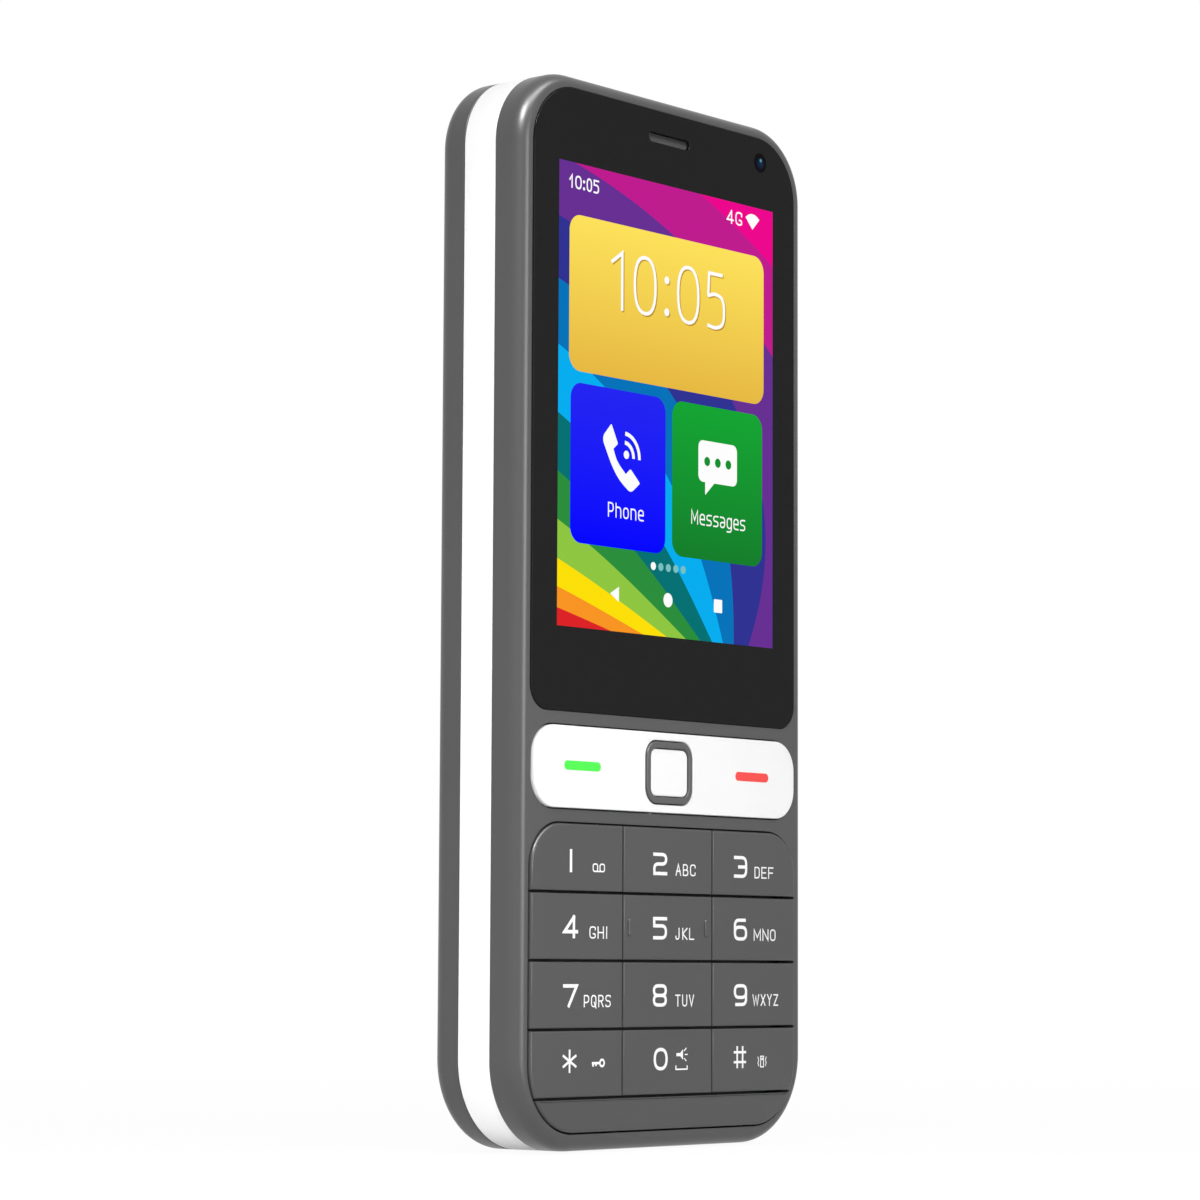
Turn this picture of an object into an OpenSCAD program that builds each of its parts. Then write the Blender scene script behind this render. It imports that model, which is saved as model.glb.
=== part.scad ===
/* [Display and glass] */
// Width of the lit picture
display_w = 43.2; // [40:0.1:50]
// Height of the lit picture
display_h = 57.6; // [52:0.1:66]
// Black glass border at each side of the picture
glass_side_border = 4.54; // [4:0.01:6]
// Black glass border above the picture
glass_top_border = 9.37; // [9:0.01:14]
// Black glass border below the picture
glass_bottom_border = 10.33; // [10:0.01:16]
// Upper corner radius of the glass
glass_top_r = 7.4; // [5:0.1:8.5]
// Lower corner radius of the glass
glass_bottom_r = 3; // [2:0.1:5]
// Thickness of the cover glass
glass_t = 1.2; // [1:0.05:1.5]
// Rounding of the front edge of the glass
glass_edge_r = 0.25; // [0.1:0.01:0.35]
// How far the glass stands in front of the rim
glass_proud = 0.37; // [0.2:0.01:0.6]
// Thickness of the adhesive tape under the glass
tape_t = 0.1; // [0.05:0.01:0.2]
// Frame of the display cell at the sides and top
cell_border = 2; // [1.5:0.1:2.4]
// Driver ledge of the display cell at the bottom
cell_ledge = 6; // [4:0.1:6.5]
// Thickness of the display cell
cell_t = 1; // [0.8:0.05:1.2]
// Thickness of the light guide
guide_t = 1; // [0.8:0.05:1.4]
// Wall and floor of the backlight tray
tray_t = 0.48; // [0.3:0.02:0.6]

/* [Body] */
// Rim from the side of the body to the glass
glass_side_rim = 2.36; // [2.2:0.01:3]
// Rim from the top of the body to the glass
glass_top_rim = 1.82; // [1.7:0.01:3]
// Rim from the bottom of the body to the chin plate
chin_rim = 2.3; // [2.2:0.01:4]
// Upper corner radius of the body
top_corner_r = 9.5; // [9:0.1:11]
// Lower corner radius of the body
bottom_corner_r = 11.2; // [10.6:0.1:12]
// Rounding of the front edge
front_edge_r = 1.7; // [1:0.1:1.8]
// Rounding of the rear edge
rear_edge_r = 2.2; // [1.5:0.1:2.8]
// Side wall of the shells
shell_wall = 1.3; // [1.1:0.05:1.4]
// Depth of the front housing at the side
front_shell_d = 4.05; // [3.6:0.05:4.4]
// Depth of the battery cover at the side
cover_d = 4.45; // [3.8:0.05:5]
// Back wall of the battery cover
cover_t = 1.2; // [1:0.05:1.6]
// Parting gap between cover and band
cover_gap = 0.1; // [0.05:0.01:0.2]

/* [Call bar] */
// Rim from the side of the body to the bar
bar_side_rim = 2.8; // [2.5:0.01:4]
// Height of the bar
bar_h = 10; // [9.6:0.1:13]
// Corner radius of the bar
bar_r = 3.6; // [2:0.1:4.5]
// Rounding of the front edge of the bar
bar_edge_r = 0.45; // [0.2:0.05:0.7]
// Bridge between the glass and the bar
upper_bridge = 1.78; // [1.7:0.01:3]
// How far the bar stands in front of the rim
bar_proud = 0.82; // [0.5:0.01:1]
// Depth of the bar behind the rim
bar_depth = 1.6; // [1.5:0.05:1.7]
// Radius of the rocker pins of the bar
bar_pin_r = 0.45; // [0.35:0.01:0.5]
// Length of the rocker pins of the bar
bar_pin_l = 0.9; // [0.8:0.05:1]
// Distance of each switch of the bar from its middle
bar_switch_x = 16.9; // [14:0.1:20]

/* [Navigation ring] */
// Width of the ring
ring_w = 9.1; // [8.8:0.1:11]
// Height of the ring
ring_h = 7.73; // [7.5:0.01:8]
// Outer corner radius of the ring
ring_r = 1.95; // [1.5:0.05:2.4]
// Width of the band of the ring
ring_band = 0.8; // [0.7:0.05:0.9]
// Rounding of the front edges of ring and select key
ring_edge_r = 0.25; // [0.1:0.05:0.35]
// How far the ring stands in front of the rim
ring_proud = 1.12; // [1:0.01:1.4]
// How far the select key stands in front of the rim
select_proud = 0.82; // [0.6:0.01:1]
// Depth of the select key's cap behind the rim
select_depth = 1.4; // [1:0.05:1.5]
// Gap between the select key and the ring
select_gap = 0.15; // [0.12:0.01:0.2]
// Radius of the gimbal pins
gimbal_pin_r = 0.35; // [0.3:0.01:0.38]
// Thickness of the gimbal frame
gimbal_t = 0.8; // [0.7:0.05:0.85]

/* [Keypad] */
// Rim from the side of the body to the keys
keypad_side_rim = 2.3; // [2.2:0.01:3.4]
// Bridge between the bar and the keys
lower_bridge = 1.9; // [1.8:0.01:3]
// Distance from row to row
row_pitch = 8.3; // [8:0.1:10]
// Open gap between rows
row_gap = 0.3; // [0.25:0.01:0.4]
// Open gap between columns
column_gap = 0.2; // [0.18:0.01:0.3]
// Width of the middle column
middle_column_w = 17.73; // [16:0.01:18.5]
// Height of the chin plate
chin_h = 4.14; // [4.1:0.01:7]
// Upper corner radius of the keypad
keypad_top_r = 5.4; // [3:0.1:7]
// Lower corner radius of the keypad
keypad_bottom_r = 8.2; // [7.8:0.1:8.6]
// How far the keys stand in front of the rim
key_proud = 0.52; // [0.4:0.01:0.6]
// Rounding of the keypad's outer edge
key_edge_r = 0.3; // [0.15:0.05:0.4]
// Chamfer of the edges between keys
key_chamfer = 0.12; // [0.05:0.01:0.2]
// Height of the raised marks on the middle key
mark_h = 0.15; // [0.1:0.01:0.25]
// Length of the raised marks on the middle key
mark_l = 2.2; // [1.5:0.1:3]
// Width of the raised marks on the middle key
mark_w = 0.7; // [0.5:0.05:1]
// Distance of the raised marks from the edge of the middle key
mark_side = 1.2; // [0.8:0.05:2]
// Gap round keys, bar, ring and chin plate
key_fit = 0.2; // [0.18:0.01:0.25]
// Width of the flange that holds a key under the rim
key_lip = 0.3; // [0.25:0.01:0.32]
// Thickness of the key flange
key_flange_t = 0.5; // [0.4:0.05:0.6]
// Play of a key in front of its flange
lip_gap = 0.08; // [0.05:0.01:0.1]
// Gap between a key and its pad, which the key travels
key_gap = 0.3; // [0.28:0.01:0.35]
// Thickness of the key mat with its pads
mat_t = 0.4; // [0.35:0.01:0.5]
// Height of the pads on the key mat
pad_h = 0.1; // [0.08:0.01:0.15]
// Height of the plungers under the key mat
plunger_h = 0.1; // [0.08:0.01:0.15]
// Radius of the plungers under the key mat
plunger_r = 1.2; // [0.8:0.1:1.5]
// Height of a dome switch
dome_h = 0.2; // [0.18:0.01:0.3]
// Radius of a dome switch
dome_r = 2; // [1.8:0.1:2.4]
// Radius of a dome switch under the ring
small_dome_r = 1.2; // [1:0.05:1.3]

/* [Board and parts on it] */
// Thickness of the main board
board_t = 1; // [0.8:0.05:1.2]
// Height of the shield cans
can_h = 1.5; // [1.2:0.05:1.8]
// Width of a shield can
can_w = 19; // [15:0.5:19.5]
// Length of a shield can
can_l = 34; // [28:0.5:38]
// Width of the speaker slot in the glass
earpiece_w = 8.2; // [7:0.1:10]
// Height of the speaker slot in the glass
earpiece_h = 1.25; // [1:0.05:1.5]
// Drop of the speaker slot below the top of the glass
earpiece_drop = 3.5; // [3.3:0.05:4]
// Width of the receiver capsule
receiver_w = 11.2; // [10.5:0.1:13]
// Height of the receiver capsule
receiver_h = 4.45; // [3.5:0.05:4.5]
// Corner radius of the receiver capsule
receiver_r = 1.5; // [0.5:0.1:1.7]
// Distance from the side of the body to the front camera
front_camera_side = 9.6; // [9.5:0.1:13]
// Drop of the front camera below the top of the glass
front_camera_drop = 3.25; // [3:0.05:4]
// Radius of the front camera's barrel
front_camera_r = 1.7; // [1.3:0.05:1.8]
// Radius of the headphone socket's bore
jack_bore_r = 1.8; // [1.75:0.01:1.85]
// Length of the headphone socket
jack_l = 14; // [13:0.1:14.5]
// Thickness of the headphone socket
jack_t = 4.2; // [4.1:0.05:4.4]
// Width of the headphone socket
jack_w = 5.2; // [4.6:0.1:6]
// Width of the charging socket
usb_w = 7.9; // [7.5:0.1:9]
// Thickness of the charging socket
usb_t = 2.9; // [2.6:0.1:3.1]
// Length of the charging socket
usb_l = 5.5; // [5:0.1:6]
// Sheet metal of the sockets
sheet_t = 0.25; // [0.2:0.01:0.3]

/* [Battery and bay] */
// Distance from the side of the body to the battery
battery_side = 7.5; // [7.3:0.1:10]
// Length of the battery
battery_l = 60; // [54:0.5:64]
// Thickness of the battery
battery_t = 4.8; // [4.4:0.1:7]
// Wall of the battery bay
bay_wall = 1; // [0.8:0.05:1.1]
// Height of the bay's wall above the frame's plate
bay_h = 2; // [1.5:0.1:3]
// Thickness of the frame's plate
plate_t = 1; // [0.8:0.05:1.4]
// Free space around the battery
battery_fit = 0.2; // [0.15:0.01:0.4]

/* [Rear camera, torch and speaker] */
// Radius of the camera's window
window_r = 3.2; // [2.8:0.1:3.6]
// Radius of the bezel round the camera's window
bezel_r = 4.4; // [4.1:0.1:4.8]
// Thickness of the camera's window
window_t = 0.7; // [0.5:0.05:0.8]
// Side of the camera module
camera_side = 8; // [7:0.1:8.5]
// Drop of the camera below the top of the body
camera_drop = 16.4; // [15.5:0.1:17]
// Distance of the torch from the middle
torch_x = 8.4; // [7.8:0.1:9]
// Radius of the torch lens
torch_r = 1.6; // [1.4:0.05:1.8]
// Width of the loudspeaker
speaker_w = 16; // [14:0.5:16.5]
// Height of the loudspeaker
speaker_h = 12; // [10:0.5:12.5]
// Distance from the side of the body to the loudspeaker
speaker_side = 5.1; // [4.5:0.1:5.6]
// Number of sound slots in the cover
slot_count = 5; // [3:1:6]
// Width of a sound slot
slot_w = 1; // [0.8:0.05:1.2]
// Length of a sound slot
slot_l = 8; // [6:0.5:9]
// Distance from slot to slot
slot_pitch = 2; // [1.8:0.05:2.4]
// Radius of the vibration motor
motor_r = 4.4; // [3.5:0.1:4.6]
// Thickness of the vibration motor
motor_t = 2.8; // [2:0.1:3.4]
// Width of the nail notch in the cover
notch_w = 10; // [8:0.5:14]
// Depth of the nail notch in the cover
notch_d = 0.8; // [0.5:0.05:1]

/* [Fasteners] */
// Radius of a screw boss
boss_r = 1.5; // [1.35:0.05:1.55]
// Extra radius of a boss below the board
boss_step = 0.4; // [0.3:0.05:0.5]
// Radius of a screw's shank
screw_r = 0.6; // [0.5:0.05:0.7]
// Radius of a screw's head
screw_head_r = 1.25; // [1:0.05:1.35]
// Height of a screw's head
screw_head_h = 0.8; // [0.6:0.05:1]
// Length of a screw's shank
screw_l = 4; // [3:0.1:4.4]
// Distance from the side of the body to the upper screws
upper_screw_side = 5.3; // [5.2:0.1:5.8]
// Drop of the upper screws below the top of the body
upper_screw_drop = 6.8; // [6.4:0.1:6.9]
// Distance from the side of the body to the middle screws
middle_screw_side = 4.2; // [4:0.1:4.6]
// Rise of the middle screws above the lower end of the glass
middle_screw_rise = 1.25; // [1:0.05:2]
// Distance from the side of the body to the lower screws
lower_screw_side = 13.5; // [12:0.1:15]
// Rise of the lower screws above the lower end of the chin plate
lower_screw_rise = 1.7; // [1.6:0.05:1.8]

/* [Hidden] */
$fn = 64;

// The keys in reading order, row by row
KEY_NODES = [
    "key_1", "key_2", "key_3", "key_4", "key_5", "key_6",
    "key_7", "key_8", "key_9", "key_star", "key_0", "key_hash"
];
key_columns = 3;
key_rows = len(KEY_NODES) / key_columns;

dark_grey = [0.11, 0.11, 0.115];
white = [0.95, 0.95, 0.95];
black = [0.02, 0.02, 0.022];
metal = [0.72, 0.72, 0.74];
board_green = [0.05, 0.25, 0.13];
silicone = [0.75, 0.76, 0.78];

// A small seat between parts of the frame, and the overlap of fused forms
seat = 0.02;
fuse = 0.4;
through = 1;
pin_play = 0.05;

// Outline in width and height
glass_w = display_w + 2 * glass_side_border;
glass_h = display_h + glass_top_border + glass_bottom_border;
body_w = glass_w + 2 * glass_side_rim;
keypad_w = body_w - 2 * keypad_side_rim;
bar_w = body_w - 2 * bar_side_rim;
chin_bottom = chin_rim;
chin_top = chin_bottom + chin_h;
keypad_top = chin_top + key_rows * row_pitch;
bar_bottom = keypad_top + lower_bridge;
bar_top = bar_bottom + bar_h;
nav_z = bar_bottom + bar_h / 2;
glass_bottom = bar_top + upper_bridge;
glass_top = glass_bottom + glass_h;
body_h = glass_top + glass_top_rim;
display_bottom = glass_bottom + glass_bottom_border;
display_top = display_bottom + display_h;
earpiece_z = glass_top - earpiece_drop;
front_camera_x = body_w / 2 - front_camera_side;
front_camera_z = glass_top - front_camera_drop;
speaker_x = body_w / 2 - speaker_side - speaker_w / 2;
camera_z = body_h - camera_drop;

// Stack behind the flat rim of the front, as depths
pocket_d = glass_t - glass_proud + tape_t;
cell_front = pocket_d + seat;
tray_front = cell_front + cell_t;
tray_d = guide_t + tray_t;
board_gap = 0.2;
board_front = tray_front + tray_d + board_gap;
board_rear = board_front + board_t;
dome_play = 0.05;
plunger_front = board_front - dome_h - dome_play - plunger_h;
mat_front = plunger_front - mat_t;
key_rear = mat_front - key_gap;
key_flange_front = key_rear - key_flange_t;
face_t = key_flange_front - lip_gap;
can_play = 0.1;
plate_front = board_rear + can_h + can_play;
plate_rear = plate_front + plate_t;
battery_front = plate_rear + battery_fit;
battery_rear = battery_front + battery_t;
cover_inner = battery_rear + battery_fit;
body_d = cover_inner + cover_t;
cover_front = body_d - cover_d;
band_rear = cover_front - cover_gap;
rim_y = ring_proud - (ring_proud + body_d) / 2;

// Window for the display cell
cell_w = display_w + 2 * cell_border;
cell_bottom = display_bottom - cell_ledge;
cell_top = display_top + cell_border;
cell_fit = 0.2;
cell_mid = (cell_top + cell_bottom) / 2;
cell_h = cell_top - cell_bottom;

// Inside of the shells
inner_w = body_w - 2 * shell_wall;
board_play = 0.3;
board_inset = shell_wall + board_play;

// Screw places: upper, middle and lower pairs
screw_places = [
    [body_w / 2 - upper_screw_side, body_h - upper_screw_drop],
    [body_w / 2 - middle_screw_side, glass_bottom + middle_screw_rise],
    [body_w / 2 - lower_screw_side, chin_bottom + lower_screw_rise]
];

// Rocking parts of the navigation ring
nav_drop = 0.7;
nav_axis = face_t + nav_drop;
lug_wall = 0.15;
lug_rear = nav_axis + gimbal_pin_r + lug_wall;
lug_half_w = 0.9;
lug_gap = 0.55;
lug_reach = ring_h / 2 + lug_gap;
lug_bore_d = 0.9;
ring_rear = nav_axis + gimbal_pin_r;
ring_inner_w = ring_w - 2 * ring_band;
ring_inner_h = ring_h - 2 * ring_band;
gimbal_gap = 0.35;
gimbal_bar = 1.1;
gimbal_w = ring_inner_w - 2 * gimbal_gap;
gimbal_h = ring_inner_h - 2 * gimbal_gap;
stem_gap = 0.3;
bar_axis = face_t / 2;

// Widths of the columns
column_edges = [-keypad_w / 2, -middle_column_w / 2, middle_column_w / 2, keypad_w / 2];

// Sockets and sensors along the edges
jack_axis = board_rear + seat + jack_t / 2;
jack_x = body_w / 2 - top_corner_r - jack_w / 2;
jack_bottom = body_h - shell_wall - seat - jack_l;
usb_front = 0.4;
usb_depth = board_rear + seat;
mic_x = -8.5;
mic_w = 3;
mic_t = 1.1;
mic_hole_r = 0.5;
mic_axis = board_rear + mic_t / 2;
motor_gap = 0.6;
motor_x = jack_x + 1;
motor_z = jack_bottom - motor_gap - motor_r;

// Battery bay, downwards from the motor
battery_w = body_w - 2 * battery_side;
bay_top = motor_z - motor_r - motor_gap;
battery_top = bay_top - bay_wall - battery_fit;
battery_z = battery_top - battery_l;
battery_mid = battery_z + battery_l / 2;
contact_w = 8;
contact_h = 3.6;
contact_pitch = 2.4;
contact_drop = 1.9;
contact_z = battery_z - battery_fit - contact_h / 2;
card_gap = 0.6;
sim_w = 16.5;
sim_h = 15;
sim_t = 1.4;
sim_x = 11;
card_top_gap = 1.6;
sim_top = contact_z - contact_h / 2 - card_top_gap;
sim_mid = sim_top - sim_h / 2;
memory_w = 13;
memory_h = 12;
memory_t = 1.3;
memory_mid = sim_top - sim_h - card_gap - memory_h / 2;
bay_window_w = 2 * (sim_x + sim_w / 2 + card_gap);
bay_window_low = memory_mid - memory_h / 2 - card_gap;
bay_window_h = sim_top + card_gap / 2 - bay_window_low;

// Height of the torch's light emitter
led_h = 0.8;

// Stiffening ribs inside the cover
rib_count = 3;
rib_first = 12;
rib_pitch = 10;
rib_t = 0.8;
rib_h = 1.2;
rib_side = 1;

// Tongue that locates the cover in the band
tongue_fit = 0.15;
tongue_t = 0.8;
tongue_l = 1.2;
tongue_root = 1.5;

// Extrudes an outline drawn in width and height between two depths behind the rim
module slab(d0, d1) {
    translate([0, rim_y + d1, 0]) rotate([90, 0, 0]) linear_extrude(d1 - d0) children();
}

// Round post along the depth
module post(x, z, r, d0, d1) {
    translate([x, rim_y + d1, z]) rotate([90, 0, 0]) cylinder(h = d1 - d0, r = r);
}

// Round pin along the width
module cross_pin(x0, x1, d, z, r) {
    translate([x0, rim_y + d, z]) rotate([0, 90, 0]) cylinder(h = x1 - x0, r = r);
}

// Round pin along the height
module upright_pin(x, d, z0, z1, r) {
    translate([x, rim_y + d, z0]) cylinder(h = z1 - z0, r = r);
}

// Block given by its middle in width and height, and two depths
module block(x, z, w, h, d0, d1) {
    translate([x - w / 2, rim_y + d0, z - h / 2]) cube([w, d1 - d0, h]);
}

// Panel outline with its own upper and lower corner radius
module panel(w, z0, z1, r_top, r_low) {
    mid = (z0 + z1) / 2;
    translate([-w / 2, z0 + r_low]) square([w, z1 - z0 - r_top - r_low]);
    translate([-w / 2 + r_top, mid]) square([w - 2 * r_top, z1 - mid]);
    translate([-w / 2 + r_low, z0]) square([w - 2 * r_low, mid - z0]);
    for (side = [-1, 1]) {
        translate([side * (w / 2 - r_top), z1 - r_top]) circle(r = r_top);
        translate([side * (w / 2 - r_low), z0 + r_low]) circle(r = r_low);
    }
}

// Rounded rectangle round a point
module rounded(x, z, w, h, r) {
    translate([x, 0]) panel(w, z - h / 2, z + h / 2, r, r);
}

// Slot with round ends, lying along the width or standing along the height
module slot(x, z, length, width, upright) {
    run = length - width;
    translate([x, z]) rotate(upright ? 90 : 0) {
        square([run, width], center = true);
        for (end = [-1, 1]) translate([end * run / 2, 0]) circle(r = width / 2);
    }
}

// Outline of the body, drawn in by an inset
module body_outline(inset) {
    panel(body_w - 2 * inset, inset, body_h - inset, top_corner_r - inset, bottom_corner_r - inset);
}

// Outline of the keys and chin plate together, grown by an allowance
module keypad_outline(grow) {
    panel(keypad_w + 2 * grow, chin_bottom - grow, keypad_top + grow,
          keypad_top_r + grow, keypad_bottom_r + grow);
}

// Outline of the glass, grown by an allowance
module glass_outline(grow) {
    panel(glass_w + 2 * grow, glass_bottom - grow, glass_top + grow,
          glass_top_r + grow, glass_bottom_r + grow);
}

// Half section of a shell: reach from the corner's centre, and one rounded edge
module edge_section(reach, d0, d1, edge_r, front) {
    square_d = d1 - d0;
    translate([0, d0]) square([reach - edge_r, square_d]);
    translate([0, front ? d0 + edge_r : d0]) square([reach, square_d - edge_r]);
    translate([reach - edge_r, front ? d0 + edge_r : d1 - edge_r]) circle(r = edge_r);
}

// Solid of a panel outline with its front or rear edge rounded
module rounded_panel(w, z0, z1, r_top, r_low, d0, d1, edge_r, front) {
    top_x = w / 2 - r_top;
    low_x = w / 2 - r_low;
    top_z = z1 - r_top;
    low_z = z0 + r_low;
    translate([0, rim_y, low_z]) linear_extrude(top_z - low_z) {
        edge_section(w / 2, d0, d1, edge_r, front);
        mirror([1, 0]) edge_section(w / 2, d0, d1, edge_r, front);
    }
    translate([top_x, rim_y, top_z]) rotate([0, -90, 0])
        linear_extrude(2 * top_x) edge_section(r_top, d0, d1, edge_r, front);
    translate([-low_x, rim_y, low_z]) rotate([0, 90, 0])
        linear_extrude(2 * low_x) edge_section(r_low, d0, d1, edge_r, front);
    for (side = [0, 1]) mirror([side, 0, 0]) {
        translate([top_x, rim_y, top_z]) rotate([-90, -90, 0])
            rotate_extrude(angle = 90) edge_section(r_top, d0, d1, edge_r, front);
        translate([low_x, rim_y, low_z]) rotate([-90, 0, 0])
            rotate_extrude(angle = 90) edge_section(r_low, d0, d1, edge_r, front);
    }
}

// Solid of the body's outline with its front or rear edge rounded
module rounded_body(d0, d1, edge_r, front) {
    rounded_panel(body_w, 0, body_h, top_corner_r, bottom_corner_r, d0, d1, edge_r, front);
}

// Repeats its children at both sides for each pair of screws
module at_screws() {
    for (place = screw_places)
        for (side = [-1, 1])
            translate([side * place[0], 0, place[1]]) children();
}

// Front shell with the glass pocket, the key openings, bosses and rocker bearings
module front_housing() {
    color(dark_grey) difference() {
        union() {
            difference() {
                rounded_body(0, front_shell_d, front_edge_r, true);
                slab(face_t, front_shell_d + through) body_outline(shell_wall);
            }
            at_screws() {
                post(0, 0, boss_r + boss_step, face_t - fuse, board_front);
                post(0, 0, boss_r, board_front - fuse, plate_front);
            }
            nav_lugs();
        }
        slab(-through, pocket_d) glass_outline(key_fit / 2);
        slab(-through, face_t + through)
            rounded(0, cell_mid, cell_w + 2 * cell_fit, cell_h + 2 * cell_fit, cell_fit);
        slab(-through, face_t + through)
            slot(0, earpiece_z, earpiece_w, earpiece_h, false);
        post(front_camera_x, front_camera_z, front_camera_r + key_fit, -through, face_t + through);
        slab(-through, face_t + through)
            rounded(0, nav_z, bar_w + 2 * key_fit, bar_h + 2 * key_fit, bar_r + key_fit);
        slab(-through, pocket_d) keypad_outline(key_fit);
        slab(-through, face_t + through) intersection() {
            keypad_outline(key_fit);
            translate([-body_w / 2, chin_top]) square([body_w, keypad_top]);
        }
        bar_bearings();
        at_screws() post(0, 0, screw_r, plate_front - screw_l + plate_t - seat, plate_front + through);
        nav_bearings();
    }
}

// Bearings of the bar's rocker pins, in both bridges
module bar_bearings() {
    depth = bar_pin_l + pin_play;
    upright_pin(0, bar_axis, bar_top, bar_top + depth, bar_pin_r + pin_play);
    upright_pin(0, bar_axis, bar_bottom - depth, bar_bottom, bar_pin_r + pin_play);
}

// Lugs under both bridges that carry the gimbal
module nav_lugs() {
    upper = glass_bottom - key_fit;
    lower = keypad_top + key_fit + key_lip + key_fit;
    block(0, (nav_z + lug_reach + upper) / 2, 2 * lug_half_w, upper - nav_z - lug_reach,
          face_t, lug_rear);
    block(0, (lower + nav_z - lug_reach) / 2, 2 * lug_half_w, nav_z - lug_reach - lower,
          face_t, lug_rear);
    block(0, (bar_top + key_fit + upper) / 2, 2 * lug_half_w, upper - bar_top - key_fit,
          face_t - fuse / 2, lug_rear);
    block(0, (lower + bar_bottom - key_fit) / 2, 2 * lug_half_w, bar_bottom - key_fit - lower,
          face_t - fuse / 2, lug_rear);
}

// Bearings of the gimbal's upright pins
module nav_bearings() {
    r = gimbal_pin_r + pin_play;
    upright_pin(0, nav_axis, nav_z + lug_reach - seat, nav_z + lug_reach + lug_bore_d, r);
    upright_pin(0, nav_axis, nav_z - lug_reach - lug_bore_d, nav_z - lug_reach + seat, r);
}

// Black cover glass with the slot for the earpiece
module glass_panel() {
    color(black) difference() {
        rounded_panel(glass_w, glass_bottom, glass_top, glass_top_r, glass_bottom_r,
                      -glass_proud, glass_t - glass_proud, glass_edge_r, true);
        slab(-glass_proud - through, glass_t)
            slot(0, earpiece_z, earpiece_w, earpiece_h, false);
    }
}

// Adhesive frame between the glass and the pocket's floor
module glass_tape() {
    color("dimgray") slab(pocket_d - tape_t, pocket_d) difference() {
        glass_outline(-key_fit);
        rounded(0, cell_mid, cell_w + 2 * cell_fit, cell_h + 2 * cell_fit, cell_fit);
        slot(0, earpiece_z, earpiece_w, earpiece_h, false);
        translate([front_camera_x, front_camera_z]) circle(r = front_camera_r + key_fit);
    }
}

// Display cell
module lcd_panel() {
    color("black") block(0, cell_mid, cell_w, cell_h, cell_front, tray_front);
}

// Clear slab that spreads the backlight
module light_guide() {
    color("whitesmoke")
        block(0, cell_mid, cell_w - 2 * tray_t - seat, cell_h - 2 * tray_t - seat,
              tray_front, tray_front + guide_t);
}

// Open tray that holds the light guide behind the display cell
module backlight_tray() {
    color(metal) difference() {
        block(0, cell_mid, cell_w, cell_h, tray_front, tray_front + tray_d);
        block(0, cell_mid, cell_w - 2 * tray_t, cell_h - 2 * tray_t,
              tray_front - through, tray_front + guide_t);
    }
}

// Mesh in the slot of the glass
module earpiece_mesh() {
    color("gray") slab(-glass_proud + 2 * key_fit, pocket_d)
        slot(0, earpiece_z, earpiece_w - key_fit, earpiece_h - key_fit, false);
}

// Receiver capsule behind the earpiece slot
module earpiece_receiver() {
    color(metal) slab(face_t, board_front - seat)
        rounded(0, earpiece_z, receiver_w, receiver_h, receiver_r);
}

// Camera module behind the glass
module front_camera() {
    module_margin = 0.25;
    square_side = 2 * (front_camera_r + module_margin);
    color(black) {
        post(front_camera_x, front_camera_z, front_camera_r, pocket_d, face_t + fuse);
        block(front_camera_x, front_camera_z, square_side, square_side, face_t, board_front - seat);
    }
}

// Block of all keys and the chin plate with its outer edge rounded
module keypad_block(d1) {
    rounded_panel(keypad_w, chin_bottom, keypad_top, keypad_top_r, keypad_bottom_r,
                  -key_proud, d1, key_edge_r, true);
}

// Groove along the width that chamfers the edges beside a row gap
module row_groove(z) {
    side = sqrt(2) * (row_gap / 2 + key_chamfer);
    translate([0, rim_y - key_proud, z]) rotate([45, 0, 0]) cube([body_w, side, side], center = true);
}

// Groove along the height that chamfers the edges beside a column gap
module column_groove(x) {
    side = sqrt(2) * (column_gap / 2 + key_chamfer);
    translate([x, rim_y - key_proud, (chin_top + keypad_top) / 2]) rotate([0, 0, 45])
        cube([side, side, keypad_top], center = true);
}

// Plate below the last row of keys
module chin_plate() {
    color(dark_grey) difference() {
        intersection() {
            keypad_block(pocket_d);
            slab(-key_proud - through, pocket_d + through)
                translate([-body_w / 2, 0]) square([body_w, chin_top - row_gap / 2]);
        }
        row_groove(chin_top);
    }
}

// Middle of a key's cell
function key_x(i) = (column_edges[i % key_columns] + column_edges[i % key_columns + 1]) / 2;
function key_z(i) = keypad_top - (floor(i / key_columns) + 0.5) * row_pitch;

// Cell of one key, grown outwards where it meets the rim
module key_cell(i, grow) {
    column = i % key_columns;
    row = floor(i / key_columns);
    left = column_edges[column] + (column == 0 ? -grow : column_gap / 2);
    right = column_edges[column + 1] + (column == key_columns - 1 ? grow : -column_gap / 2);
    low = keypad_top - (row + 1) * row_pitch + (row == key_rows - 1 ? row_gap / 2 - grow / 2 : row_gap / 2);
    high = keypad_top - row * row_pitch - (row == 0 ? -grow : row_gap / 2);
    translate([left, low]) square([right - left, high - low]);
}

// Raised marks by which a finger finds the middle key
module finding_marks(i) {
    reach = middle_column_w / 2 - column_gap / 2 - mark_side;
    for (side = [-1, 1])
        slab(-key_proud - mark_h, -key_proud + mark_h)
            slot(key_x(i) + side * reach, key_z(i), mark_l, mark_w, true);
}

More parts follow.
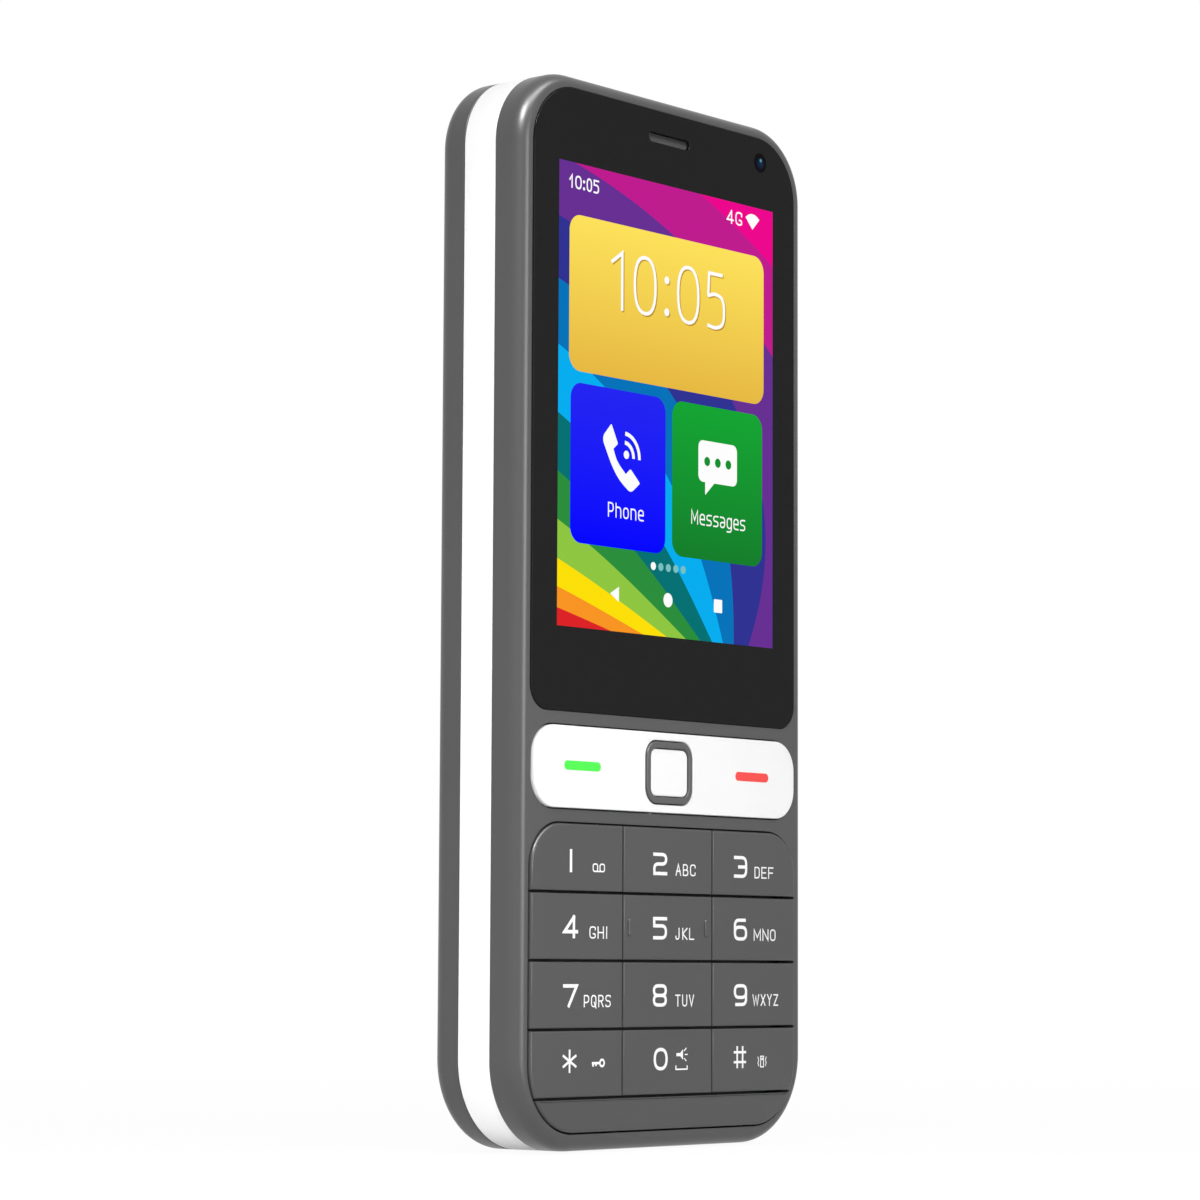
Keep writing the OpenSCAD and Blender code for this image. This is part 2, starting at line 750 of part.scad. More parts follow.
// Key cap with chamfered edges and its flange under the rim
module key_cap(i) {
    column = i % key_columns;
    row = floor(i / key_columns);
    color(dark_grey) {
        difference() {
            intersection() {
                keypad_block(key_rear);
                slab(-key_proud - through, key_rear + through) key_cell(i, 0);
            }
            if (row > 0) row_groove(keypad_top - row * row_pitch);
            row_groove(keypad_top - (row + 1) * row_pitch);
            if (column > 0) column_groove(column_edges[column]);
            if (column < key_columns - 1) column_groove(column_edges[column + 1]);
        }
        slab(key_flange_front, key_rear) intersection() {
            keypad_outline(key_fit + key_lip);
            key_cell(i, key_fit + key_lip);
        }
        if (KEY_NODES[i] == "key_5") finding_marks(i);
    }
}

// Silicone mat with a pad and a plunger at each switch
module keymat() {
    pad_w = 11;
    pad_l = 5.4;
    pad_r = 1;
    bar_pad = 3;
    mat_low = chin_top - row_gap;
    mat_high = bar_top - through;
    nav_clear = 3;
    nav_gap_w = ring_w + 2 * nav_clear;
    sheet_front = mat_front + pad_h;
    color(silicone) difference() {
        union() {
            slab(sheet_front, plunger_front)
                panel(keypad_w - 2 * key_fit, mat_low, mat_high, bar_r, keypad_bottom_r / 2);
            for (i = [0 : len(KEY_NODES) - 1]) {
                slab(mat_front, plunger_front) rounded(key_x(i), key_z(i), pad_w, pad_l, pad_r);
                post(key_x(i), key_z(i), plunger_r, plunger_front - mat_t / 2, plunger_front + plunger_h);
            }
            for (side = [-1, 1]) {
                slab(bar_depth + key_gap + key_fit, plunger_front)
                    rounded(side * bar_switch_x, nav_z, 2 * bar_pad, bar_pad, pad_r);
                post(side * bar_switch_x, nav_z, plunger_r, plunger_front - mat_t / 2,
                     plunger_front + plunger_h);
            }
        }
        slab(mat_front - through, board_front)
            translate([-nav_gap_w / 2, keypad_top]) square([nav_gap_w, bar_h + 2 * through]);
    }
}

// Pressed metal dome on the board, with a flatter crown
module dome(x, z, r) {
    crown_r = r * 0.55;
    crown_h = dome_h * 0.8;
    translate([x, rim_y + board_front, z]) rotate([90, 0, 0])
        rotate_extrude() polygon([[0, 0], [r, 0], [crown_r, crown_h], [0, dome_h]]);
}

// All switches of the keypad, the bar and the ring
module dome_switches() {
    color(metal) {
        for (i = [0 : len(KEY_NODES) - 1]) dome(key_x(i), key_z(i), dome_r);
        for (side = [-1, 1]) {
            dome(side * bar_switch_x, nav_z, dome_r);
            dome(side * (ring_w / 2 - ring_band / 2), nav_z, small_dome_r);
            dome(0, nav_z + side * (ring_h / 2 - ring_band / 2), small_dome_r);
        }
        dome(0, nav_z, small_dome_r);
    }
}

// Circuit board, holed for the bosses
module main_board() {
    color(board_green) difference() {
        slab(board_front, board_rear) body_outline(board_inset);
        at_screws() post(0, 0, boss_r + tongue_fit, board_front - through, board_rear + through);
    }
}

// Two drawn cans over the circuits
module shield_cans() {
    can_gap = 1.5;
    can_drop = 3;
    can_r = 1;
    can_mid = battery_mid - can_drop;
    color(metal) for (side = [-1, 1]) difference() {
        slab(board_rear, board_rear + can_h)
            rounded(side * (can_w + can_gap) / 2, can_mid, can_w, can_l, can_r);
        slab(board_rear - through, board_rear + can_h - sheet_t)
            rounded(side * (can_w + can_gap) / 2, can_mid, can_w - 2 * sheet_t, can_l - 2 * sheet_t,
                    can_r - sheet_t);
    }
}

// Flat card holder: a stamped frame over a contact tray, open at one end
module card_holder(x, z, w, h, t) {
    difference() {
        block(x, z, w, h, board_rear, board_rear + t);
        block(x, z - sheet_t, w - 4 * sheet_t, h, board_rear + sheet_t, board_rear + t - sheet_t);
        block(x, z - h / 4, w / 2, h / 2 + seat, board_rear + t / 2, board_rear + t + through);
    }
}

// Two holders for subscriber cards, open to the battery bay
module sim_sockets() {
    color(metal) for (side = [-1, 1]) card_holder(side * sim_x, sim_mid, sim_w, sim_h, sim_t);
}

// Holder for a memory card
module memory_card_socket() {
    color(metal) card_holder(0, memory_mid, memory_w, memory_h, memory_t);
}

// Spring connector at the battery's lower end
module battery_contacts() {
    blade_w = 1;
    rear = battery_front + battery_t - contact_drop;
    color("goldenrod") difference() {
        block(0, contact_z, contact_w, contact_h, board_rear, rear);
        for (i = [-1 : 1]) block(i * contact_pitch, contact_z + contact_h / 2, blade_w, contact_h / 2,
                                 plate_rear, rear + through);
    }
}

// Charging socket with its tongue
module usb_socket() {
    slope = 0.8;
    tongue_w = usb_w / 2;
    mouth = [[-usb_w / 2, 0], [usb_w / 2, 0], [usb_w / 2, usb_t - slope],
             [usb_w / 2 - slope, usb_t], [-usb_w / 2 + slope, usb_t], [-usb_w / 2, usb_t - slope]];
    inner = [for (p = mouth) [p[0] - sign(p[0]) * sheet_t, p[1] == 0 ? sheet_t : p[1] - sheet_t]];
    color(metal) translate([0, rim_y + usb_depth, usb_front]) {
        difference() {
            linear_extrude(usb_l) polygon(mouth);
            translate([0, 0, -through]) linear_extrude(usb_l - sheet_t + through) polygon(inner);
        }
        translate([-tongue_w / 2, usb_t / 2 - sheet_t, sheet_t])
            cube([tongue_w, 2 * sheet_t, usb_l - sheet_t]);
    }
}

// Headphone socket, bored from the top edge
module headphone_jack() {
    color(black) difference() {
        block(jack_x, jack_bottom + jack_l / 2, jack_w, jack_l,
              jack_axis - jack_t / 2, jack_axis + jack_t / 2);
        upright_pin(jack_x, jack_axis, jack_bottom + 2 * sheet_t, body_h, jack_bore_r);
    }
}

// Microphone capsule at the lower edge
module microphone() {
    color(metal) block(mic_x, board_inset + mic_w / 2, mic_w, mic_w, board_rear, board_rear + mic_t);
}

// Coin motor beside the battery
module vibration_motor() {
    color(metal) {
        post(motor_x, motor_z, motor_r, plate_rear, plate_rear + motor_t);
        post(motor_x, motor_z, motor_r / 4, plate_rear + motor_t - fuse, plate_rear + motor_t + sheet_t);
    }
}

// Loudspeaker box with its round diaphragm
module loudspeaker() {
    box_d = cover_inner - plate_rear - 2 * battery_fit;
    box_r = 1.5;
    diaphragm_r = speaker_h / 2 - through;
    color(black) difference() {
        slab(plate_rear, plate_rear + box_d) rounded(-speaker_x, camera_z, speaker_w, speaker_h, box_r);
        post(-speaker_x, camera_z, diaphragm_r, plate_rear + box_d - fuse, plate_rear + box_d + through);
    }
}

// Camera module and its lens barrel
module rear_camera() {
    barrel_r = window_r - key_fit;
    aperture_r = barrel_r / 2;
    barrel_rear = cover_inner - battery_fit;
    color(black) difference() {
        union() {
            block(0, camera_z, camera_side, camera_side, board_rear, plate_rear + through);
            post(0, camera_z, barrel_r, plate_rear, barrel_rear);
        }
        post(0, camera_z, aperture_r, barrel_rear - through, barrel_rear + through);
    }
}

// Light emitter of the torch, on the board
module torch_led() {
    led_side = 2.4;
    color("gold") block(torch_x, camera_z, led_side, led_side, board_rear, board_rear + led_h);
}

// Clear rod that leads the torch light to the back
module torch_lens() {
    color("aliceblue") post(torch_x, camera_z, torch_r, board_rear + led_h + seat, body_d - key_fit);
}

// Openings in the frame's plate
module plate_openings() {
    edge = key_fit;
    slab(plate_front - through, plate_rear + through) {
        translate([-camera_side / 2 - edge, camera_z - camera_side / 2 - edge])
            square(camera_side + 2 * edge);
        translate([torch_x, camera_z]) circle(r = torch_r + edge);
        translate([jack_x - jack_w / 2 - edge, jack_bottom - edge])
            square([jack_w + 2 * edge, jack_l + 2 * edge]);
        translate([-usb_w / 2 - edge, 0]) square([usb_w + 2 * edge, usb_front + usb_l + edge]);
        translate([-bay_window_w / 2, bay_window_low]) square([bay_window_w, bay_window_h]);
        translate([-contact_w / 2 - edge, contact_z - contact_h / 2 - edge])
            square([contact_w + 2 * edge, contact_h + 2 * edge]);
        for (place = screw_places)
            for (side = [-1, 1])
                translate([side * place[0], place[1]]) circle(r = screw_r + pin_play);
    }
}

// White band between the shells, with the plate that carries battery and board
module mid_frame() {
    bay_w = battery_w + 2 * battery_fit;
    bay_l = battery_l + 2 * battery_fit;
    color(white) difference() {
        union() {
            slab(front_shell_d, band_rear) difference() {
                body_outline(0);
                body_outline(shell_wall);
            }
            slab(plate_front, plate_rear) body_outline(shell_wall / 2);
            slab(plate_rear - fuse, plate_rear + bay_h) difference() {
                rounded(0, battery_mid, bay_w + 2 * bay_wall, bay_l + 2 * bay_wall, bay_wall);
                rounded(0, battery_mid, bay_w, bay_l, fuse);
                translate([-contact_w / 2 - key_fit, 0]) square([contact_w + 2 * key_fit, battery_mid]);
            }
        }
        plate_openings();
        upright_pin(jack_x, jack_axis, body_h - 2 * shell_wall, body_h + through, jack_bore_r + key_fit);
        translate([-usb_w / 2 - key_fit, rim_y + usb_depth - key_fit, -through])
            cube([usb_w + 2 * key_fit, usb_t + 2 * key_fit, shell_wall + 2 * through]);
        upright_pin(mic_x, mic_axis, -through, shell_wall + through, mic_hole_r);
    }
}

// Battery pack with its terminals
module battery() {
    battery_r = 1;
    terminal_w = 1.6;
    color("lightgray") difference() {
        slab(battery_front, battery_rear) rounded(0, battery_mid, battery_w, battery_l, battery_r);
        for (i = [-1 : 1])
            block(i * contact_pitch, battery_z, terminal_w, 2 * sheet_t, battery_front + sheet_t,
                  battery_front + battery_t / 2);
    }
}

// Antenna foil on the upper end of the plate
module antenna() {
    foil_w = 20;
    foil_h = 4;
    foil_x = -4;
    foil_drop = 6;
    color("peru") block(foil_x, body_h - foil_drop, foil_w, foil_h, plate_rear, plate_rear + sheet_t);
}

// Screws that clamp the frame to the front housing
module housing_screws() {
    recess_r = screw_head_r / 3;
    color(metal) at_screws() difference() {
        union() {
            post(0, 0, screw_r - pin_play, plate_rear - screw_l, plate_rear + fuse);
            post(0, 0, screw_head_r, plate_rear, plate_rear + screw_head_h);
        }
        post(0, 0, recess_r, plate_rear + screw_head_h / 2, plate_rear + 2 * screw_head_h);
    }
}

// White bar with both call ends, rocking on its two pins
module call_bar() {
    color(white) {
        difference() {
            rounded_panel(bar_w, bar_bottom, bar_top, bar_r, bar_r, -bar_proud, bar_depth, bar_edge_r, true);
            slab(-bar_proud - through, bar_depth + through)
                rounded(0, nav_z, ring_w + 2 * key_fit, ring_h + 2 * key_fit, ring_r + key_fit);
        }
        upright_pin(0, bar_axis, bar_top - fuse, bar_top + bar_pin_l, bar_pin_r);
        upright_pin(0, bar_axis, bar_bottom - bar_pin_l, bar_bottom + fuse, bar_pin_r);
    }
}

// Gimbal frame with upright pins to the housing and cross pins to the ring
module nav_gimbal() {
    front = nav_axis - gimbal_t / 2;
    rear = nav_axis + gimbal_t / 2;
    pin_end = ring_w / 2 - ring_band / 4;
    color(metal) {
        difference() {
            block(0, nav_z, gimbal_w, gimbal_h, front, rear);
            block(0, nav_z, gimbal_w - 2 * gimbal_bar, gimbal_h - 2 * gimbal_bar,
                  front - through, rear + through);
        }
        for (side = [-1, 1]) {
            cross_pin(min(side * pin_end, side * (gimbal_w / 2 - fuse)),
                      max(side * pin_end, side * (gimbal_w / 2 - fuse)), nav_axis, nav_z, gimbal_pin_r);
            upright_pin(0, nav_axis,
                        nav_z + min(side * (gimbal_h / 2 - fuse), side * (lug_reach + lug_bore_d - pin_play)),
                        nav_z + max(side * (gimbal_h / 2 - fuse), side * (lug_reach + lug_bore_d - pin_play)),
                        gimbal_pin_r);
        }
    }
}

// Four-way ring, bored for the gimbal's cross pins and notched for its upright pins
module nav_ring() {
    notch_half_w = gimbal_pin_r + gimbal_gap;
    color(dark_grey) difference() {
        rounded_panel(ring_w, nav_z - ring_h / 2, nav_z + ring_h / 2, ring_r, ring_r,
                      -ring_proud, ring_rear, ring_edge_r, true);
        slab(-ring_proud - through, ring_rear + through)
            rounded(0, nav_z, ring_inner_w, ring_inner_h, ring_r - ring_band);
        cross_pin(-ring_w, ring_w, nav_axis, nav_z, gimbal_pin_r + pin_play);
        block(0, nav_z, 2 * notch_half_w, 2 * ring_h, nav_axis - notch_half_w, ring_rear + through);
    }
}

// White key in the middle of the ring
module select_key() {
    cap_w = ring_inner_w - 2 * select_gap;
    cap_h = ring_inner_h - 2 * select_gap;
    cap_r = ring_r - ring_band - select_gap / 2;
    stem_w = gimbal_w - 2 * gimbal_bar - 2 * stem_gap;
    stem_h = gimbal_h - 2 * gimbal_bar - 2 * stem_gap;
    color(white) {
        rounded_panel(cap_w, nav_z - cap_h / 2, nav_z + cap_h / 2, cap_r, cap_r,
                      -select_proud, select_depth, ring_edge_r, true);
        block(0, nav_z, stem_w, stem_h, select_depth - fuse, ring_rear);
    }
}

// Rear shell with its locating tongue, sound slots, camera seat and nail notch
module battery_cover() {
    root = shell_wall + tongue_fit;
    color(dark_grey) difference() {
        union() {
            difference() {
                rounded_body(cover_front, body_d, rear_edge_r, false);
                slab(cover_front - through, cover_inner) body_outline(shell_wall);
            }
            slab(cover_front - tongue_l, cover_front + tongue_root) difference() {
                body_outline(root);
                body_outline(root + tongue_t);
            }
            slab(cover_front, cover_front + tongue_root) difference() {
                body_outline(shell_wall / 2);
                body_outline(root + tongue_t);
            }
            for (i = [0 : rib_count - 1])
                block(0, rib_first + i * rib_pitch, inner_w - 2 * rib_side, rib_t,
                      cover_inner - rib_h, cover_inner + fuse);
        }
        post(0, camera_z, bezel_r, body_d - window_t - key_fit, body_d + through);
        post(0, camera_z, window_r, cover_inner - through, body_d);
        post(torch_x, camera_z, torch_r + key_fit, cover_inner - through, body_d + through);
        slab(cover_inner - through, body_d + through) for (i = [0 : slot_count - 1])
            slot(-speaker_x + (i - (slot_count - 1) / 2) * slot_pitch, camera_z, slot_l, slot_w, true);
        block(jack_x, body_h, jack_w + 2 * key_fit, 4 * shell_wall, cover_front - 2 * tongue_l,
              jack_axis + jack_t / 2 + key_fit);
        slab(cover_front - through, cover_front + notch_d)
            translate([-notch_w / 2, -through]) square([notch_w, shell_wall / 2 + through]);
    }
}

// Clear window over the camera
module camera_window() {
    color([0.2, 0.2, 0.25]) post(0, camera_z, window_r + (bezel_r - window_r) / 2 - pin_play,
                                 body_d - window_t - key_fit, body_d - key_fit);
}

// Bright ring that frames the window
module camera_bezel() {
    inner = window_r + (bezel_r - window_r) / 2;
    color(metal) difference() {
        post(0, camera_z, bezel_r - pin_play, body_d - window_t - key_fit, body_d);
        post(0, camera_z, inner, body_d - 2 * through, body_d + through);
    }
}

// Acoustic cloth behind the sound slots
module speaker_mesh() {
    margin = 1;
    color("black") slab(cover_inner - battery_fit, cover_inner)
        rounded(-speaker_x, camera_z, slot_count * slot_pitch + margin, slot_l + margin, margin);
}

front_housing();
glass_panel();
glass_tape();
lcd_panel();
light_guide();
backlight_tray();
earpiece_mesh();
earpiece_receiver();
front_camera();
chin_plate();
keymat();
dome_switches();
main_board();
shield_cans();
sim_sockets();
memory_card_socket();
battery_contacts();
usb_socket();
headphone_jack();
microphone();
vibration_motor();
loudspeaker();
rear_camera();
torch_led();
torch_lens();
mid_frame();
battery();
antenna();
housing_screws();
call_bar();
nav_gimbal();
nav_ring();
select_key();
for (i = [0 : len(KEY_NODES) - 1])
    key_cap(i);
battery_cover();
camera_window();
camera_bezel();
speaker_mesh();
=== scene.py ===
"""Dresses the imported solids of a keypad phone: shells, glass, lit picture, keys and inner parts.

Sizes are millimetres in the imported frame, with X to the right of the face, Y from front to back and
Z up. A depth is measured behind the flat rim of the front, so what stands proud has a negative one.
"""

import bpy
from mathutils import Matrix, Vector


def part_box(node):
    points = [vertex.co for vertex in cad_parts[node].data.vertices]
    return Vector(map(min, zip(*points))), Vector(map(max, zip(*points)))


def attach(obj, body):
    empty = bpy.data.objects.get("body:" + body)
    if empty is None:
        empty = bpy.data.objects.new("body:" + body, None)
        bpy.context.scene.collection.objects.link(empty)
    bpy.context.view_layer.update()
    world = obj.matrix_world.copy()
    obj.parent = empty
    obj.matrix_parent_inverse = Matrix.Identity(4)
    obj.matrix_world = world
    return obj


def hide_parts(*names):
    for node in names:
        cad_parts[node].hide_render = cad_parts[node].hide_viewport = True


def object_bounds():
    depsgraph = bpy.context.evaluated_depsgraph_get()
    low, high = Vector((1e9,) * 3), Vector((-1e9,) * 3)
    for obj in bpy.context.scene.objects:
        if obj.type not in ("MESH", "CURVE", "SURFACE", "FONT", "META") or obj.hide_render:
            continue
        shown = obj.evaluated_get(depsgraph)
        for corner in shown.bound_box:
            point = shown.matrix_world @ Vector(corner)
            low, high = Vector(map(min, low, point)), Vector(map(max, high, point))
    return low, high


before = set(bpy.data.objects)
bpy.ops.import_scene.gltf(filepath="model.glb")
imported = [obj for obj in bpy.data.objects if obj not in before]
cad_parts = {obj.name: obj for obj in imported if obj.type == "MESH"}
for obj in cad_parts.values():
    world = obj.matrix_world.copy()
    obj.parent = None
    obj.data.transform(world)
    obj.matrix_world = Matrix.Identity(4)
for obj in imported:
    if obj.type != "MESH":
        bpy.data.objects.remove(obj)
CAD_BOX = [list(corner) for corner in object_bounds()]

import logging
import math
from dataclasses import dataclass, field
from enum import Enum
from typing import Callable, ClassVar, Sequence

import bmesh
import bpy
import numpy as np
from mathutils import Matrix, Vector
from mathutils.geometry import tessellate_polygon

Points = np.ndarray
Colour = tuple[float, float, float]

LOG = logging.getLogger("phone")
MM = 0.001
SUPPORT = 0.03  # flat strip beside a rounded edge, which keeps its shading even
WELD = 1e4  # points that agree in this many steps of a millimetre are one
CLOSE = 1e-4  # a shorter step of a path counts as none
LIFT = 0.002  # step in depth between flat forms that cross
LEAST_MITRE = 0.5  # keeps the mitre of a stroke's sharp corner short
SHARP = math.radians(35)


def cad_box(node: str) -> Points:
    """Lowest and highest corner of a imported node, in millimetres."""
    return np.array([list(corner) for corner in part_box(node)]) / MM


RIM_Y = cad_box("front_housing")[0][1]


def front_of(node: str) -> float:
    """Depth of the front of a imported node."""
    return float(cad_box(node)[0][1] - RIM_Y)


def rear_of(node: str) -> float:
    """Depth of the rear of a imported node."""
    return float(cad_box(node)[1][1] - RIM_Y)


def srgb(*display: int) -> Colour:
    """Turns a colour of display values into linear light.

    Args:
        display: red, green and blue, from 0 to 255.

    Returns:
        The colour in linear light.
    """
    value = np.array(display) / 255
    low, high = value / 12.92, ((value + 0.055) / 1.055) ** 2.4
    return tuple(np.where(value <= 0.04045, low, high).tolist())


def grey(tone: float) -> Colour:
    """Grey of one tone."""
    return (tone, tone, tone)


def shade(colour: Colour, factor: float) -> Colour:
    """The colour, lighter or darker by a factor."""
    return tuple(min(c * factor, 1.0) for c in colour)


def quarter(r: float, steps: int) -> Points:
    """Quarter round from a wall to a face: inset = r (1 - cos t), drop = r (1 - sin t).

    Args:
        r: radius of the round.
        steps: number of steps.

    Returns:
        Rows of inset and drop, from (0, r) at the wall to (r, 0) at the face.
    """
    t = np.linspace(0, math.pi / 2, steps + 1)
    return np.stack([r * (1 - np.cos(t)), r * (1 - np.sin(t))], -1)


def rounded(r: float, face: float, steps: int, rear: bool = False, hole: bool = False) -> Points:
    """Section of an edge: from its wall over a quarter round to a narrow strip of its face.

    Args:
        r: radius of the round.
        face: depth of the face.
        steps: steps of the round.
        rear: whether the face looks to the rear.
        hole: whether the edge runs round a hole.

    Returns:
        Rows of inset and depth.
    """
    rows = np.concatenate([quarter(r, steps), [[r + SUPPORT, 0]]])
    return rows * [-1 if hole else 1, -1 if rear else 1] + [0, face]


def laid(outline: Points, depth: float | Points) -> Points:
    """Lays an outline of width and height at a depth behind the rim.

    Args:
        outline: rows of X and Z.
        depth: one depth, or one for each point.

    Returns:
        Rows of X, Y and Z.
    """
    y = np.broadcast_to(RIM_Y + np.asarray(depth, float), outline.shape[:-1])
    return np.stack([outline[..., 0], y, outline[..., 1]], -1)


def fan(turns: Points, reach: float) -> Points:
    """Points at a distance from the origin, one for each angle in degrees."""
    return reach * np.stack([np.cos(np.radians(turns)), np.sin(np.radians(turns))], -1)


class Skin:
    """Collects point grids and flat faces, and welds them into one closed mesh."""

    def __init__(self) -> None:
        """Starts with no points and no faces."""
        self.points: list[Points] = []
        self.quads: list[Points] = []
        self.tris: list[Points] = []
        self.total = 0

    def _take(self, points: Points) -> Points:
        """Stores points and gives their numbers.

        Args:
            points: X, Y and Z in any arrangement.

        Returns:
            The numbers in the same arrangement.
        """
        flat = points.reshape(-1, 3)
        numbers = np.arange(self.total, self.total + len(flat)).reshape(points.shape[:-1])
        self.points.append(flat)
        self.total += len(flat)
        return numbers

    def grid(self, points: Points, round_columns: bool = True, round_rows: bool = False) -> None:
        """Spans quads between neighbours of a two-parameter grid.

        Args:
            points: rows by columns by X, Y and Z.
            round_columns: joins the last column to the first.
            round_rows: joins the last row to the first.
        """
        at = self._take(points)
        at = np.concatenate([at, at[:, :1]], 1) if round_columns else at
        at = np.concatenate([at, at[:1]], 0) if round_rows else at
        corners = (at[:-1, :-1], at[:-1, 1:], at[1:, 1:], at[1:, :-1])
        self.quads.append(np.stack(corners, -1).reshape(-1, 4))

    def face(self, *loops: Points) -> None:
        """Fills a flat outline that may have holes.

        Args:
            loops: the outline, then its holes, as rows of X, Y and Z.
        """
        clean = []
        for loop in loops:
            apart = np.abs(loop - np.roll(loop, -1, 0)).max(1) > 2 / WELD
            clean.append(loop[apart])
        corners = tessellate_polygon([[Vector(p) for p in loop.tolist()] for loop in clean])
        at = self._take(np.concatenate(clean))
        self.tris.append(at[np.array([list(c) for c in corners], int)])

    def between(self, *walls: Points) -> None:
        """Adds walls, and the flat faces that their first rows and their last rows enclose.

        Args:
            walls: grids of points; the first runs outside, the others are holes.
        """
        for wall in walls:
            self.grid(wall)
        for end in (0, -1):
            self.face(*[wall[end] for wall in walls])

    def turned(self, x: float, z: float, profile: Sequence, steps: int = 64) -> "Skin":
        """Adds a turned form: p(u, v) = centre + r(v) (cos u, sin u), at depth d(v).

        Args:
            x: width of the axis, which runs along the depth.
            z: height of the axis.
            profile: rows of radius and depth, which start and end on the axis or meet.
            steps: steps of a turn.

        Returns:
            This skin.
        """
        rows = np.array(profile, float)
        circle = fan(np.linspace(0, 360, steps, endpoint=False), 1)
        flat = np.array([x, z]) + rows[:, None, None, 0] * circle[None]
        self.grid(laid(flat, rows[:, 1, None]))
        return self

    def mesh(self, name: str) -> bpy.types.Mesh:
        """Welds equal points, drops empty faces and turns all faces outwards.

        Args:
            name: name of the mesh.

        Returns:
            The closed mesh, in metres.
        """
        points = np.concatenate(self.points)
        _, first, number = np.unique(np.round(points * WELD).astype(np.int64), axis=0,
                                     return_index=True, return_inverse=True)
        number = number.reshape(-1)
        tris = [number[t] for t in self.tris]
        quads = number[np.concatenate(self.quads)]
        same = quads == np.roll(quads, -1, 1)
        equal = same.sum(1)
        tris.append(quads[equal == 1][~same[equal == 1]].reshape(-1, 3))
        quads = quads[equal == 0]
        quads = quads[(quads[:, 0] != quads[:, 2]) & (quads[:, 1] != quads[:, 3])]
        tris = np.concatenate(tris)
        tris = tris[(tris != np.roll(tris, -1, 1)).all(1)]
        mesh = bpy.data.meshes.new(name)
        mesh.from_pydata((points[first] * MM).tolist(), [], quads.tolist() + tris.tolist())
        work = bmesh.new()
        work.from_mesh(mesh)
        bmesh.ops.recalc_face_normals(work, faces=work.faces)
        work.to_mesh(mesh)
        work.free()
        mesh.shade_smooth()
        mesh.set_sharp_from_angle(angle=SHARP)
        return mesh


@dataclass(frozen=True)
class Panel:
    """Rounded outline in width and height, with its own upper and lower corner radius."""

    x: float
    low: float
    high: float
    w: float
    r_top: float
    r_low: float
    arc: int = 8

    @classmethod
    def of_node(cls, node: str, r_top: float, r_low: float, arc: int, side: float = 0) -> "Panel":
        """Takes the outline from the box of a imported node.

        Args:
            node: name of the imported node.
            r_top: upper corner radius.
            r_low: lower corner radius.
            arc: steps of a corner.
            side: how much wider it is on each side.

        Returns:
            The outline.
        """
        low, high = cad_box(node)
        w = high[0] - low[0] + 2 * side
        return cls((low[0] + high[0]) / 2, low[2], high[2], w, r_top, r_low, arc)

    @classmethod
    def about(cls, x: float, z: float, w: float, h: float, r: float, arc: int = 8) -> "Panel":
        """Rounded rectangle of width w and height h about a point."""
        return cls(x, z - h / 2, z + h / 2, w, r, r, arc)

    @classmethod
    def disc(cls, x: float, z: float, r: float, arc: int = 10) -> "Panel":
        """Circle of radius r about a point."""
        return cls.about(x, z, 2 * r, 2 * r, r, arc)

    def grow(self, by: float) -> "Panel":
        """Outline that runs outside this one at a distance."""
        return Panel(self.x, self.low - by, self.high + by, self.w + 2 * by,
                     max(self.r_top + by, 0), max(self.r_low + by, 0), self.arc)

    def normals(self) -> Points:
        """Outward directions along the outline: (cos a, sin a), a quarter turn at each corner."""
        turns = np.array([[-90], [0], [90], [180]]) + np.linspace(0, 90, self.arc + 1)
        return fan(turns, 1).reshape(-1, 2)

    def ring(self) -> Points:
        """Works out the outline: each corner's centre plus its radius times the outward direction.

        Returns:
            Rows of X and Z, counterclockwise from the lower right corner.
        """
        r = np.array([self.r_low, self.r_top, self.r_top, self.r_low])
        side = np.array([1, 1, -1, -1])
        z = np.array([self.low, self.high, self.high, self.low])
        centre = np.stack([self.x + side * (self.w / 2 - r), z - r * np.sign(z - z.mean())], -1)
        count = self.arc + 1
        return np.repeat(centre, count, 0) + np.repeat(r, count)[:, None] * self.normals()

    def sweep(self, profile: Points) -> Points:
        """Carries a profile round the outline: p(u, v) = outline(u) - inset(v) normal(u).

        Args:
            profile: rows of inset and depth.

        Returns:
            Rows of the profile by points of the outline by X, Y and Z.
        """
        profile = np.asarray(profile, float)
        flat = self.ring()[None] - profile[:, None, None, 0] * self.normals()[None]
        return laid(flat, profile[:, 1, None])


@dataclass(frozen=True)
class Slab:
    """Flat piece between two depths, with rounded edges and with holes."""

    outline: Panel
    front: float
    rear: float
    front_r: float = 0.05
    rear_r: float = 0.05
    holes: tuple[Panel, ...] = ()
    hole_r: float = 0.05

    def lay(self, skin: Skin | None = None) -> Skin:
        """Adds walls and faces; edges follow the quarter round of their radius.

        Args:
            skin: mesh that takes the piece, or else a new one does.

        Returns:
            The skin.
        """
        skin = skin or Skin()
        rows = np.concatenate([rounded(self.rear_r, self.rear, 4, rear=True)[::-1],
                               rounded(self.front_r, self.front, 6)])
        bore = np.concatenate([rounded(self.hole_r, self.rear, 4, rear=True, hole=True)[::-1],
                               rounded(self.hole_r, self.front, 4, hole=True)])
        skin.between(self.outline.sweep(rows), *[hole.sweep(bore) for hole in self.holes])
        return skin


